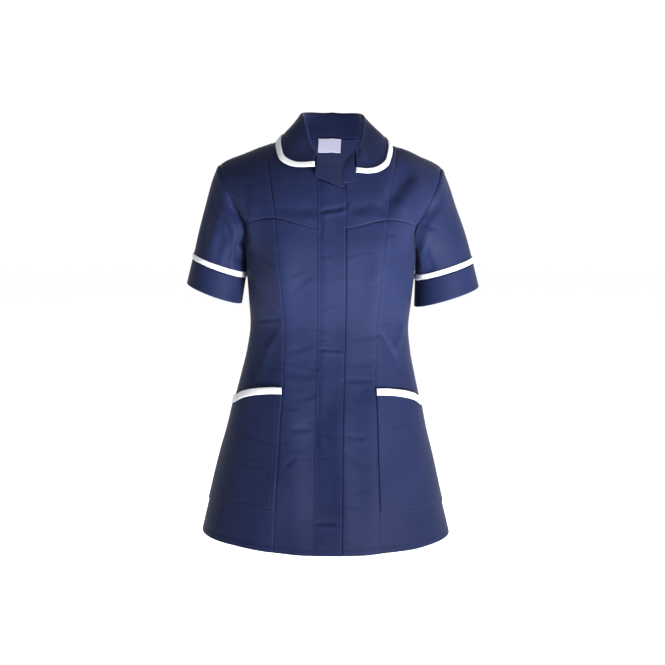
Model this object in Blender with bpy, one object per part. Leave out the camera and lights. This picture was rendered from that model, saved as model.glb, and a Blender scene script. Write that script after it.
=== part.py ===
"""Fitted work tunic, filled out as if worn: princess-seamed fronts with a covered front closing,
short sleeves with cuffs, a round turned-down collar, small lapels and two side pockets.
Metres, +Z up, the front faces -Y. The origin lies between the shoulders, on the level where they
carry the tunic."""

import math

import bmesh
import bpy
import numpy as np

# Cloth and seams
WALL = 0.0014
TRIM_WALL = 0.0010
GAP = 0.0003
HALF_GAP = GAP / 2
BUST_HALF_GAP = 0.00035
ARMHOLE_GAP = 0.0006

# Heights
HEM_Z = -0.6715
UNDERARM_Z = -0.165
ARMHOLE_WIDEST_Z = -0.100
FRONT_ARCH_Z = -0.165
BACK_ARCH_Z = -0.090

# Neckline, seen from above
NECK_HALF_WIDTH = 0.065
NECK_DEPTH_BACK = 0.064
NECK_DEPTH_FRONT = 0.073

# Curve of the cloth from the fullest level up to the shoulder: 2 is an ellipse, less is flatter
FRONT_ARCH_POWER = 1.8
BACK_ARCH_POWER = 2.6

# The body hangs a little to one side and turns a little below the chest, everything slopes a
# little, and the hem rises at the sides
SHOULDER_SWAY = -0.0025
HEM_SWAY = -0.0096
SLANT = 0.016
BODY_TURN = 0.022
HEM_RISE = 0.0060

# Front closing, lapels and pockets
PLACKET_LEFT_X = -0.0225
CLOSING_X = 0.0235
PLACKET_OVERHANG = 0.0010
PLACKET_TOP_LEFT_Z = -0.0362
PLACKET_TOP_RIGHT_Z = -0.0535
LAPEL_LIFT = 0.0040
LAPEL_HOLLOW = 0.45
ZIP_HALF_WIDTH = 0.015
ZIP_TOP_Z = -0.060
ZIP_BOTTOM_Z = -0.600
LYING_GAP = 0.0005
ZIP_GAP = 0.0009
POCKET_BOTTOM_Z = -0.606
POCKET_BOTTOM_SLOPE = 0.09
POCKET_PLAIN_TOP_Z = -0.45
POCKET_TRIM_WIDTH = 0.0132
POCKET_GAPE = 0.0025

# Sleeves
CUFF_HEIGHT = 0.0445
SLEEVE_TRIM_HEIGHT = 0.0125
SLEEVE_CENTRE_Y = 0.008
SLEEVE_PULL = 0.9

# Collar
COLLAR_LIFT = 0.0036
COLLAR_TRIM_WIDTH = 0.0115
COLLAR_TRIM_GAP = 0.0005
COLLAR_END_LEFT = 155.0
COLLAR_END_RIGHT = 141.0
COLLAR_SKEW = 0.0070
COLLAR_TURN = 0.0018
COLLAR_STEPS = 13
COLLAR_SEAM_GAP = 0.0009

# Label inside the back neck
LABEL_LEFT_X = -0.0245
LABEL_RIGHT_X = 0.0155
LABEL_HEIGHT = 0.025
LABEL_INSET = 0.0030
LABEL_LEAN = 0.05

# Shoulder line, seen from the front
SHOULDER_COLUMNS = ("x", "z")
SHOULDER_ROWS = (
    (0.0000, 0.0470),
    (0.0300, 0.0420),
    (0.0650, 0.0318),
    (0.0995, 0.0228),
    (0.1239, 0.0156),
    (0.1525, 0.0035),
    (0.1804, -0.0090),
    (0.1915, -0.0160),
    (0.2400, -0.0450),
)

# Body sections: level, half width at the side seams, depth in front and behind, squareness
BODY_COLUMNS = ("z", "half_width", "front", "back", "power")
BODY_ROWS = (
    (0.060, 0.2350, 0.128, 0.108, 2.50),
    (-0.016, 0.2210, 0.128, 0.108, 2.50),
    (-0.048, 0.2100, 0.128, 0.108, 2.50),
    (-0.079, 0.1960, 0.128, 0.108, 2.50),
    (-0.114, 0.1730, 0.128, 0.107, 2.50),
    (-0.140, 0.1585, 0.128, 0.105, 2.50),
    (-0.165, 0.1492, 0.128, 0.103, 2.48),
    (-0.200, 0.1468, 0.126, 0.097, 2.44),
    (-0.250, 0.1424, 0.111, 0.088, 2.36),
    (-0.293, 0.1391, 0.100, 0.083, 2.30),
    (-0.336, 0.1439, 0.101, 0.087, 2.28),
    (-0.379, 0.1532, 0.108, 0.098, 2.26),
    (-0.433, 0.1660, 0.119, 0.113, 2.24),
    (-0.477, 0.1758, 0.127, 0.122, 2.22),
    (-0.521, 0.1876, 0.134, 0.129, 2.20),
    (-0.565, 0.1979, 0.140, 0.135, 2.18),
    (-0.609, 0.2075, 0.145, 0.140, 2.16),
    (-0.654, 0.2178, 0.150, 0.145, 2.14),
    (-0.700, 0.2270, 0.154, 0.149, 2.12),
)

# Seam down each front, from the shoulder to the hem, seen from the front
PRINCESS_COLUMNS = ("z", "x")
PRINCESS_ROWS = (
    (0.060, 0.1180),
    (0.012, 0.1121),
    (-0.054, 0.1009),
    (-0.095, 0.0953),
    (-0.164, 0.0876),
    (-0.220, 0.0818),
    (-0.255, 0.0791),
    (-0.293, 0.0774),
    (-0.336, 0.0772),
    (-0.386, 0.0777),
    (-0.440, 0.0809),
    (-0.508, 0.0841),
    (-0.575, 0.0875),
    (-0.644, 0.0918),
    (-0.700, 0.0950),
)

# Armhole edge above its widest level, seen from the front
ARMHOLE_COLUMNS = ("z", "x")
ARMHOLE_ROWS = (
    (0.010, 0.1960),
    (-0.0170, 0.1915),
    (-0.0475, 0.1815),
    (-0.0790, 0.1665),
    (-0.1000, 0.1545),
)

# Curved seam across the bust, seen from the front
BUST_SEAM_COLUMNS = ("x", "z")
BUST_SEAM_ROWS = (
    (0.000, -0.1170),
    (0.024, -0.1160),
    (0.050, -0.1110),
    (0.080, -0.1035),
    (0.100, -0.1012),
    (0.125, -0.1055),
    (0.150, -0.1155),
    (0.190, -0.1350),
)

# Upper edge of each pocket, seen from the front
POCKET_TOP_COLUMNS = ("x", "z")
POCKET_TOP_ROWS = (
    (0.060, -0.3900),
    (0.090, -0.3908),
    (0.120, -0.3955),
    (0.145, -0.4055),
    (0.160, -0.4190),
    (0.175, -0.4310),
)

# Collar, by the share of the way from the centre back to its front end: how far the fold lies
# inside the neckline and above it, how round it is, its outer edge seen from above, and how far
# the leaf bellies out
COLLAR_COLUMNS = ("share", "roll_in", "roll_up", "radius", "edge_x", "edge_y", "belly")
COLLAR_ROWS = (
    (0.00, -0.0040, 0.0455, 0.0034, 0.0000, 0.0820, 0.0010),
    (0.16, -0.0030, 0.0452, 0.0034, 0.0430, 0.0760, 0.0010),
    (0.33, 0.0020, 0.0440, 0.0034, 0.0715, 0.0570, 0.0012),
    (0.46, 0.0080, 0.0420, 0.0034, 0.0865, 0.0320, 0.0012),
    (0.60, 0.0130, 0.0350, 0.0032, 0.0950, -0.0010, 0.0020),
    (0.73, 0.0135, 0.0240, 0.0030, 0.0985, -0.0330, 0.0020),
    (0.83, 0.0100, 0.0155, 0.0028, 0.0930, -0.0610, 0.0015),
    (0.91, 0.0060, 0.0090, 0.0025, 0.0740, -0.0765, 0.0010),
    (0.96, 0.0028, 0.0058, 0.0022, 0.0530, -0.0825, 0.0005),
    (1.00, 0.0000, 0.0042, 0.0020, 0.0342, -0.0848, 0.0000),
)

# Lapels: side, top and foot of the fold line, how far it bows, tip and top of the outer edge
LAPEL_COLUMNS = ("side", "top_x", "foot_x", "foot_z", "bow", "tip_x", "tip_z", "edge_x")
LAPEL_ROWS = (
    (-1, -0.0215, 0.0232, -0.0515, 0.0030, -0.0280, -0.0315, -0.0238),
    (1, 0.0355, 0.0240, -0.0440, 0.0105, 0.0445, -0.0365, 0.0365),
)

# Sleeves: side, hem centre, half width seen from the front, half depth, tilt of the hem and lean
# of the cuff in degrees, how much narrower the cuff is at its top, and how full the sleeve head is
SLEEVE_COLUMNS = ("side", "hem_x", "hem_z", "half_width", "half_depth", "tilt", "lean", "flare", "puff")
SLEEVE_ROWS = (
    (-1, 0.2040, -0.2415, 0.0512, 0.0600, 19.2, 10.3, 0.0019, 0.26),
    (1, 0.2060, -0.2418, 0.0590, 0.0575, 18.2, 7.6, 0.0060, 0.10),
)

# Largest folds: side of the body, both ends seen from the front, half width and height of the cloth
FOLD_COLUMNS = ("face", "x1", "z1", "x2", "z2", "width", "height")
FOLD_ROWS = (
    ("front", -0.090, -0.180, -0.082, -0.150, 0.034, 0.0045),
    ("front", 0.090, -0.180, 0.082, -0.150, 0.034, 0.0045),
    ("front", 0.118, -0.020, 0.094, -0.085, 0.013, -0.0035),
    ("front", -0.060, -0.440, -0.052, -0.670, 0.020, 0.0026),
    ("front", -0.004, -0.430, -0.006, -0.600, 0.024, -0.0016),
    ("front", 0.062, -0.420, 0.066, -0.670, 0.022, 0.0026),
    ("front", -0.138, -0.450, -0.160, -0.670, 0.024, -0.0024),
    ("front", 0.128, -0.450, 0.150, -0.670, 0.024, 0.0024),
    ("front", -0.088, -0.300, -0.128, -0.372, 0.009, -0.0026),
    ("front", 0.084, -0.300, 0.118, -0.362, 0.009, -0.0026),
    ("back", 0.000, -0.400, 0.000, -0.670, 0.026, -0.0030),
    ("back", 0.085, -0.400, 0.105, -0.670, 0.026, 0.0030),
    ("back", -0.085, -0.400, -0.105, -0.670, 0.026, 0.0030),
    ("back", 0.060, -0.275, -0.060, -0.280, 0.011, -0.0026),
    ("back", 0.090, -0.230, 0.125, -0.170, 0.012, -0.0022),
    ("back", -0.090, -0.230, -0.125, -0.170, 0.012, -0.0022),
)

# How each panel is divided
CENTRE_COLUMNS = 7
SIDE_COLUMNS = 8
YOKE_ROWS = 8
SEAM_ROWS = 2
SLEEVE_RINGS = (0.0, 0.08, 0.20, 0.36, 0.54, 0.74)
LEVELS = (
    HEM_Z, -0.640, -0.606, -0.565, -0.521, -0.477, -0.433, -0.400, -0.365, -0.330, -0.300,
    -0.270, -0.240, -0.210, -0.185, UNDERARM_Z, -0.1600, -0.1515, -0.1390, -0.1270,
)

NAVY = (0.030, 0.042, 0.150, 1.0)
WHITE = (0.86, 0.86, 0.90, 1.0)
ZIP_NAVY = (0.020, 0.026, 0.080, 1.0)


def smooth_through(rows, columns, key, value):
    """A curve through one column of a table that never overshoots between its rows."""
    points = sorted((row[columns.index(key)], row[columns.index(value)]) for row in rows)
    xs = np.array([p[0] for p in points], float)
    ys = np.array([p[1] for p in points], float)
    steps = np.diff(xs)
    slopes = np.diff(ys) / steps
    tangents = np.concatenate(([slopes[0]], np.zeros(len(xs) - 2), [slopes[-1]]))
    for i in range(1, len(xs) - 1):
        before, after = slopes[i - 1], slopes[i]
        if before * after > 0:
            w1, w2 = 2 * steps[i] + steps[i - 1], steps[i] + 2 * steps[i - 1]
            tangents[i] = (w1 + w2) / (w1 / before + w2 / after)

    def value_at(x):
        x = min(max(x, xs[0]), xs[-1])
        i = min(max(int(np.searchsorted(xs, x)) - 1, 0), len(steps) - 1)
        t = (x - xs[i]) / steps[i]
        start = (1 + 2 * t) * (1 - t) ** 2 * ys[i] + t * (1 - t) ** 2 * steps[i] * tangents[i]
        end = t * t * (3 - 2 * t) * ys[i + 1] + t * t * (t - 1) * steps[i] * tangents[i + 1]
        return start + end

    return value_at


def named_rows(rows, columns):
    return [dict(zip(columns, row)) for row in rows]


def ease(t):
    t = min(max(t, 0.0), 1.0)
    return t * t * (3 - 2 * t)


def signed_power(value, power):
    return math.copysign(abs(value) ** power, value)


def unit(vector):
    return vector / max(np.linalg.norm(vector), 1e-12)


half_width = smooth_through(BODY_ROWS, BODY_COLUMNS, "z", "half_width")
squareness = smooth_through(BODY_ROWS, BODY_COLUMNS, "z", "power")
front_reach = smooth_through(BODY_ROWS, BODY_COLUMNS, "z", "front")
back_reach = smooth_through(BODY_ROWS, BODY_COLUMNS, "z", "back")
shoulder_line_z = smooth_through(SHOULDER_ROWS, SHOULDER_COLUMNS, "x", "z")
princess_x = smooth_through(PRINCESS_ROWS, PRINCESS_COLUMNS, "z", "x")
armhole_upper_x = smooth_through(ARMHOLE_ROWS, ARMHOLE_COLUMNS, "z", "x")
bust_seam_z = smooth_through(BUST_SEAM_ROWS, BUST_SEAM_COLUMNS, "x", "z")
pocket_top_z = smooth_through(POCKET_TOP_ROWS, POCKET_TOP_COLUMNS, "x", "z")
collar = {
    key: smooth_through(COLLAR_ROWS, COLLAR_COLUMNS, "share", key) for key in COLLAR_COLUMNS[1:]
}
folds = named_rows(FOLD_ROWS, FOLD_COLUMNS)


def shoulder_z(x):
    return shoulder_line_z(abs(x))


def reach_and_arch(z, face):
    """Depth of the body on one face, the level where its arch starts, and the arch's power."""
    if face == "front":
        return front_reach(z), FRONT_ARCH_Z, FRONT_ARCH_POWER
    return back_reach(z), BACK_ARCH_Z, BACK_ARCH_POWER


def fold_relief(x, z, face):
    """How far the folds push the cloth out at a place seen from the front."""
    total = 0.0
    for fold in folds:
        if fold["face"] != face:
            continue
        start = np.array((fold["x1"], fold["z1"]))
        run = np.array((fold["x2"], fold["z2"])) - start
        place = np.array((x, z)) - start
        along = float(place @ run) / float(run @ run)
        nearest = min(max(along, 0.0), 1.0)
        away = np.linalg.norm(place - nearest * run) / fold["width"]
        if away < 3.0:
            total += fold["height"] * math.exp(-away * away)
    return total


def body_point(angle, climb, face):
    """A point of the body. angle runs from the centre line (0) to the side seam (90 degrees), and
    climb along the cloth from the level where the arch starts, which is 0."""
    sign = -1.0 if face == "front" else 1.0
    _, start_z, arch = reach_and_arch(0.0, face)
    z = start_z + min(climb, 0.0)
    x = 0.0
    rise = 1.0
    for _ in range(5):
        power = squareness(z)
        x = half_width(z) * signed_power(math.sin(angle), 2 / power)
        if climb <= 0:
            break
        rise = shoulder_z(x) - start_z
        z = start_z + rise * abs(math.sin(climb / rise)) ** (2 / arch)
    power = squareness(z)
    reach = reach_and_arch(z, face)[0]
    depth = reach * signed_power(math.cos(angle), 2 / power)
    if climb > 0:
        depth *= signed_power(math.cos(climb / rise), 2 / arch)
    edge_fade = min(1.0, abs(depth) / 0.02)
    depth += fold_relief(x, z, face) * edge_fade
    return np.array((x, sign * depth, z))


def angle_at(x, z):
    share = min(abs(x) / half_width(z), 1.0)
    return math.copysign(math.asin(share ** (squareness(z) / 2)), x)


def climb_at(x, z, face):
    """Climb of a place seen from the front, stopping half a seam gap short of the shoulder line."""
    reach, start_z, arch = reach_and_arch(z, face)
    if z <= start_z:
        return z - start_z
    rise = shoulder_z(x) - start_z
    share = min((z - start_z) / rise, 1.0)
    depth = max(reach * signed_power(math.cos(angle_at(x, z)), 2 / squareness(z)), 0.002)
    return rise * min(math.asin(share ** (arch / 2)), math.acos((HALF_GAP / depth) ** (arch / 2)))


def body_normal(angle, climb, face):
    step = 0.004
    across = body_point(angle + step, climb, face) - body_point(angle - step, climb, face)
    up = body_point(angle, climb + 0.0004, face) - body_point(angle, climb - 0.0004, face)
    normal = unit(np.cross(across, up))
    point = body_point(angle, climb, face)
    outward = point - np.array((0.0, 0.0, min(point[2], -0.12)))
    return normal if normal @ outward > 0 else -normal


def on_body(x, z, face, lift=0.0):
    """The point and outward normal of the body at a place seen from the front."""
    angle, climb = angle_at(x, z), climb_at(x, z, face)
    normal = body_normal(angle, climb, face)
    return body_point(angle, climb, face) + normal * lift, normal


def height_over(x, y):
    """Height of the body's upper side at a place seen from above."""
    face = "front" if y < 0 else "back"
    z = 0.0
    for _ in range(12):
        reach, start_z, arch = reach_and_arch(z, face)
        power = squareness(z)
        width_share = min(abs(x) / half_width(z), 1.0)
        depth = reach * (1 - width_share**power) ** (1 / power)
        share = min(abs(y) / depth, 1.0)
        z = start_z + (shoulder_z(x) - start_z) * (1 - share**arch) ** (1 / arch)
    return z


def over_body(x, y, lift):
    z = height_over(x, y)
    face = "front" if y < 0 else "back"
    angle, climb = angle_at(x, z), climb_at(x, z, face)
    return body_point(angle, climb, face) + body_normal(angle, climb, face) * lift


def seam_angle(z, face):
    """The largest angle a panel reaches at a level: the side seam, or the armhole above it."""
    reach = reach_and_arch(z, face)[0]
    power = squareness(z)
    if z <= UNDERARM_Z:
        return math.acos((HALF_GAP / reach) ** (power / 2))
    if z >= ARMHOLE_WIDEST_Z:
        return angle_at(armhole_upper_x(z), z)
    widest = angle_at(armhole_upper_x(ARMHOLE_WIDEST_Z), ARMHOLE_WIDEST_Z)
    widest_reach = reach_and_arch(ARMHOLE_WIDEST_Z, face)[0]
    widest_depth = widest_reach * math.cos(widest) ** (2 / squareness(ARMHOLE_WIDEST_Z))
    share = (z - UNDERARM_Z) / (ARMHOLE_WIDEST_Z - UNDERARM_Z)
    depth = max(widest_depth * (1 - (1 - share) ** 2.2) ** (1 / 2.2), HALF_GAP)
    return math.acos(min(depth / reach, 1.0) ** (power / 2))


def back_neck_z(x):
    share = min(abs(x) / NECK_HALF_WIDTH, 1.0)
    return height_over(x, NECK_DEPTH_BACK * math.sqrt(1 - share * share))


def front_neck_z(x):
    share = min(abs(x) / NECK_HALF_WIDTH, 1.0)
    return height_over(x, -NECK_DEPTH_FRONT * math.sqrt(1 - share * share))


def upper_edge_z(x, neck_z):
    """Upper edge of a panel: the neckline, then the shoulder seam."""
    return neck_z(x) if abs(x) < NECK_HALF_WIDTH else shoulder_z(x)


def hang(point):
    """The lean of the whole tunic, and its hem, which rises towards the sides."""
    x, y, z = point
    sway = SHOULDER_SWAY * ease((0.04 - z) / 0.06) + HEM_SWAY * ease((-z - 0.10) / 0.52)
    turn = BODY_TURN * ease((-z - 0.12) / 0.20)
    rise = HEM_RISE * (abs(x) / 0.2) ** 1.5 * ease((-z - 0.50) / 0.17)
    return np.array((x + sway - turn * y, y + turn * x, z - SLANT * x + rise))


def cloth(name, colour, roughness):
    material = bpy.data.materials.new(name)
    material.use_nodes = True
    shader = material.node_tree.nodes["Principled BSDF"]
    shader.inputs["Base Color"].default_value = colour
    shader.inputs["Roughness"].default_value = roughness
    shader.inputs["Metallic"].default_value = 0.0
    return material


def wall_object(name, outer, inner, material, closed=False):
    """A cloth wall between two grids of points. closed joins the last column to the first."""
    mesh = bpy.data.meshes.new(name)
    build = bmesh.new()
    rows, columns = len(outer), len(outer[0])
    top, under = [[[build.verts.new(hang(p)) for p in row] for row in grid] for grid in (outer, inner)]
    spans = columns if closed else columns - 1
    for i in range(rows - 1):
        for j in range(spans):
            k = (j + 1) % columns
            build.faces.new((top[i][j], top[i][k], top[i + 1][k], top[i + 1][j]))
            build.faces.new((under[i][j], under[i + 1][j], under[i + 1][k], under[i][k]))
    for j in range(spans):
        k = (j + 1) % columns
        build.faces.new((top[0][j], under[0][j], under[0][k], top[0][k]))
        build.faces.new((top[-1][j], top[-1][k], under[-1][k], under[-1][j]))
    if not closed:
        for i in range(rows - 1):
            build.faces.new((top[i][0], top[i + 1][0], under[i + 1][0], under[i][0]))
            build.faces.new((top[i][-1], under[i][-1], under[i + 1][-1], top[i + 1][-1]))
    bmesh.ops.recalc_face_normals(build, faces=build.faces)
    if build.calc_volume(signed=True) < 0:
        bmesh.ops.reverse_faces(build, faces=build.faces)
    build.to_mesh(mesh)
    build.free()
    mesh.shade_smooth()
    mesh.materials.append(material)
    made = bpy.data.objects.new(name, mesh)
    parts.objects.link(made)
    return made


def on_body_wall(name, places, face, low, high, material):
    """A wall whose faces lie low and high over the body; both may be functions of (row, column)."""
    low_at = low if callable(low) else lambda _i, _j: low
    high_at = high if callable(high) else lambda _i, _j: high
    outer, inner = [], []
    for i, row in enumerate(places):
        points = [body_point(a, c, face) for a, c in row]
        normals = [body_normal(a, c, face) for a, c in row]
        outer.append([p + n * high_at(i, j) for j, (p, n) in enumerate(zip(points, normals))])
        inner.append([p + n * low_at(i, j) for j, (p, n) in enumerate(zip(points, normals))])
    wall_object(name, outer, inner, material)
    return outer


def thick_sheet(name, grid, material, wall=WALL, closed=False):
    """A wall of even thickness round a grid of points on its middle surface."""
    rows, columns = len(grid), len(grid[0])
    points = np.array(grid)
    outer, inner = points.copy(), points.copy()
    for i in range(rows):
        for j in range(columns):
            up = points[min(i + 1, rows - 1)][j] - points[max(i - 1, 0)][j]
            if closed:
                across = points[i][(j + 1) % columns] - points[i][j - 1]
            else:
                across = points[i][min(j + 1, columns - 1)] - points[i][max(j - 1, 0)]
            normal = unit(np.cross(up, across))
            outer[i][j] += normal * wall / 2
            inner[i][j] -= normal * wall / 2
    wall_object(name, outer, inner, material, closed)
    return outer, inner


def level_places(levels, left, right, columns, face):
    """Rows of (angle, climb) at fixed levels, between two angles that depend on the level."""
    rows = []
    for z in levels:
        first, last = left(z), right(z)
        places = []
        for share in columns:
            angle = first + (last - first) * share
            x = half_width(z) * signed_power(math.sin(angle), 2 / squareness(z))
            places.append((angle, climb_at(x, z, face)))
        rows.append(places)
    return rows


def rising_places(foot, head, left, right, columns, rows, face):
    """Rows of (angle, climb) from one edge up to another, each edge a height that depends on x."""
    grid = []
    for i in range(rows + 1):
        places = []
        for share in columns:
            z = foot(0.1) + (0.01 - foot(0.1)) * i / rows
            for _ in range(24):
                first, last = left(z), right(z)
                angle = first + (last - first) * share
                x = half_width(z) * signed_power(math.sin(angle), 2 / squareness(z))
                low, high = climb_at(x, foot(x), face), climb_at(x, head(x), face)
                climb = low + (high - low) * i / rows
                z = (z + body_point(angle, climb, face)[2]) / 2
            places.append((angle, climb))
        grid.append(places)
    return grid


def shares(count):
    return [i / count for i in range(count + 1)]


def neck_columns(first_x, left, right, neck_z, before, after):
    """Column shares that follow the round neckline evenly, then run on evenly to the far edge."""
    start = math.asin(min(abs(first_x) / NECK_HALF_WIDTH, 1.0))
    made = []
    for i in range(before + 1):
        x = NECK_HALF_WIDTH * math.sin(start + (math.pi / 2 - start) * i / before)
        z = neck_z(x)
        made.append((angle_at(x, z) - left(z)) / (right(z) - left(z)))
    corner = made[-1]
    return made[:-1] + [corner + (1 - corner) * i / after for i in range(after + 1)]


def lapel_row(side):
    """The row of one lapel, with the height of its top, which lies on the neckline."""
    row = next(r for r in named_rows(LAPEL_ROWS, LAPEL_COLUMNS) if r["side"] == side)
    return row | {"top_z": front_neck_z(row["top_x"])}


def fold_line(lapel):
    """The line along which a front turns back, as x that depends on the level."""
    rise = lapel["top_z"] - lapel["foot_z"]

    def line(z):
        share = min(max((z - lapel["foot_z"]) / rise, 0.0), 1.0)
        straight = lapel["foot_x"] + (lapel["top_x"] - lapel["foot_x"]) * share
        return straight - lapel["bow"] * 4 * share * (1 - share)

    return line


def armhole_edge(places, outer, face, column):
    """Where a panel ends at the armhole: edge points, normals there, and the way off the panel."""
    found = []
    before = 1 if column == 0 else column - 1
    for place_row, row in zip(places, outer):
        angle, climb = place_row[column]
        found.append((row[column], body_normal(angle, climb, face), row[column] - row[before]))
    return found


def make_front(side, name):
    """The four panels of one front. Returns the front edge of its armhole, from below upwards, and
    the outer points of the centre and side panels."""
    lapel = lapel_row(side)
    line = fold_line(lapel)

    def closing(z):
        x = side * line(z) if z > lapel["foot_z"] else side * CLOSING_X + HALF_GAP
        return angle_at(x, z)

    def princess_inner(z):
        return angle_at(princess_x(z) - HALF_GAP, z)

    def princess_outer(z):
        return angle_at(princess_x(z) + HALF_GAP, z)

    def outer_edge(z):
        return seam_angle(z, "front")

    def below_seam(x):
        return bust_seam_z(abs(x)) - BUST_HALF_GAP

    def above_seam(x):
        return bust_seam_z(abs(x)) + BUST_HALF_GAP

    def last_level(_x):
        return LEVELS[-1]

    def top_edge(x):
        return upper_edge_z(max(x, side * lapel["top_x"]), front_neck_z)

    yoke_columns = neck_columns(lapel["top_x"], closing, princess_inner, front_neck_z, 5, 3)
    yoke_columns[0] = 0.0
    edge, grids = [], []
    panels = (
        ("centre", closing, princess_inner, shares(CENTRE_COLUMNS), yoke_columns),
        ("side", princess_outer, outer_edge, shares(SIDE_COLUMNS), shares(SIDE_COLUMNS)),
    )
    for part, left, right, lower_columns, upper_columns in panels:
        low = level_places(LEVELS, left, right, lower_columns, "front")
        seam = rising_places(last_level, below_seam, left, right, lower_columns, SEAM_ROWS, "front")
        upper = rising_places(above_seam, top_edge, left, right, upper_columns, YOKE_ROWS, "front")
        lower_rows = turned(low + seam[1:], side)
        upper_rows = turned(upper, side)
        lower_outer = on_body_wall(f"front_{part}_{name}", lower_rows, "front", -WALL, 0.0, navy)
        upper_outer = on_body_wall(f"yoke_{part}_{name}", upper_rows, "front", -WALL, 0.0, navy)
        start = LEVELS.index(UNDERARM_Z)
        edge = armhole_edge(lower_rows[start:], lower_outer[start:], "front", -1)
        edge += armhole_edge(upper_rows, upper_outer, "front", -1)
        grids.append((lower_outer, upper_outer))
    return edge, grids


def turned(rows, side):
    """Rows of (angle, climb) on the chosen side of the centre line."""
    return [[(side * angle, climb) for angle, climb in row] for row in rows]


def make_back():
    """The back panel. Returns the back edges of both armholes, from below upwards."""

    def right(z):
        return seam_angle(z, "back")

    def left(z):
        return -right(z)

    def last_level(_x):
        return LEVELS[-1]

    def top_edge(x):
        return upper_edge_z(x, back_neck_z)

    half = neck_columns(0.0, lambda _z: 0.0, right, back_neck_z, 6, 7)
    columns = [0.5 - share / 2 for share in reversed(half)] + [0.5 + share / 2 for share in half[1:]]
    low = level_places(LEVELS, left, right, columns, "back")
    high = rising_places(last_level, top_edge, left, right, columns, YOKE_ROWS + SEAM_ROWS, "back")
    outer = on_body_wall("back", low + high[1:], "back", -WALL, 0.0, navy)
    start = LEVELS.index(UNDERARM_Z)
    places = (low + high[1:])[start:]
    return [armhole_edge(places, outer[start:], "back", column) for column in (0, -1)]


def on_row(row, x):
    """The point of one row of a panel's points at an x seen from the front."""
    ordered = sorted(row, key=lambda point: point[0])
    k = 0
    while k < len(ordered) - 2 and ordered[k + 1][0] < x:
        k += 1
    share = (x - ordered[k][0]) / (ordered[k + 1][0] - ordered[k][0])
    return ordered[k] + (ordered[k + 1] - ordered[k]) * share


def on_line(line, z):
    """The point of one upward line of points at a height."""
    i = 0
    while i < len(line) - 2 and line[i + 1][2] < z:
        i += 1
    share = (z - line[i][2]) / (line[i + 1][2] - line[i][2])
    return line[i] + (line[i + 1] - line[i]) * share


def lying_wall(name, points, low, wall, material):
    """A wall lying on a panel: points on the panel's facets, moved out by low and low + wall."""
    outer, inner = [], []
    for i, row in enumerate(points):
        over, under = [], []
        for j, point in enumerate(row):
            normal = on_body(point[0], point[2], "front")[1]
            under.append(point + normal * low(i, j))
            over.append(point + normal * (low(i, j) + wall))
        outer.append(over)
        inner.append(under)
    wall_object(name, outer, inner, material)


def make_placket(grid):
    """The covered closing, on the panels of the left front."""
    xs = [PLACKET_LEFT_X + (CLOSING_X + PLACKET_OVERHANG - PLACKET_LEFT_X) * k for k in shares(4)]
    slope = (PLACKET_TOP_RIGHT_Z - PLACKET_TOP_LEFT_Z) / (xs[-1] - xs[0])
    tops = [PLACKET_TOP_LEFT_Z + slope * (x - xs[0]) for x in xs]
    lines = [[on_row(row, x) for row in grid] for x in xs]
    rows = [i for i in range(len(grid)) if all(line[i][2] < top - 0.004 for line, top in zip(lines, tops))]
    points = [[line[i] for line in lines] for i in rows]
    last = [point[2] for point in points[-1]]
    for share in (0.33, 0.67, 1.0):
        heights = [low + (top - low) * share for low, top in zip(last, tops)]
        points.append([on_line(line, z) for line, z in zip(lines, heights)])
    lying_wall("placket", points, lambda _i, _j: LYING_GAP, WALL, navy)


def make_zip():
    places = []
    levels = [ZIP_BOTTOM_Z] + [z for z in LEVELS if z > ZIP_BOTTOM_Z + 0.01]
    levels += [LEVELS[-1] + (ZIP_TOP_Z - LEVELS[-1]) * k for k in shares(5)[1:]]
    for z in levels:
        xs = (CLOSING_X - ZIP_HALF_WIDTH, CLOSING_X, CLOSING_X + ZIP_HALF_WIDTH)
        places.append([(angle_at(x, z), climb_at(x, z, "front")) for x in xs])
    inside = -WALL - ZIP_GAP
    on_body_wall("zip", places, "front", inside - TRIM_WALL, inside, zip_navy)


def make_pocket(name, grid):
    """A pocket on one side front, and the braid on its opening. grid: the side front's points."""
    levels = [z for z in LEVELS if POCKET_BOTTOM_Z + 0.02 < z < POCKET_PLAIN_TOP_Z]
    patch, strip = [], []
    for j in range(SIDE_COLUMNS + 1):
        line = [row[j] for row in grid]
        if j in (0, SIDE_COLUMNS):
            inset = 0.04 if j == 0 else 0.05
            beside = 1 if j == 0 else SIDE_COLUMNS - 1
            line = [row[j] + (row[beside] - row[j]) * inset for row in grid]

        def meet(edge, offset=0.0, line=line):
            z = -0.45
            for _ in range(12):
                z = edge(abs(on_line(line, z)[0])) + offset
            return z

        bottom = meet(lambda x: POCKET_BOTTOM_Z - POCKET_BOTTOM_SLOPE * (x - 0.15))
        top = meet(pocket_top_z)
        foot = meet(pocket_top_z, -POCKET_TRIM_WIDTH)
        heights = [bottom] + levels + [levels[-1] + (foot - levels[-1]) / 2, foot]
        heights += [(foot + top) / 2, top]
        column = [on_line(line, z) for z in heights]
        patch.append(column)
        strip.append(column[-3:])
    patch, strip = list(zip(*patch)), list(zip(*strip))
    rows = len(patch) - 1

    def low(i, j):
        gape = POCKET_GAPE * math.sin(math.pi * j / SIDE_COLUMNS) ** 2
        return LYING_GAP + gape * (i / rows) ** 4

    def strip_low(i, j):
        return low(rows - 2 + i, j) + WALL + GAP

    lying_wall(f"pocket_{name}", patch, low, WALL, navy)
    lying_wall(f"pocket_trim_{name}", strip, strip_low, TRIM_WALL, white)


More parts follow.
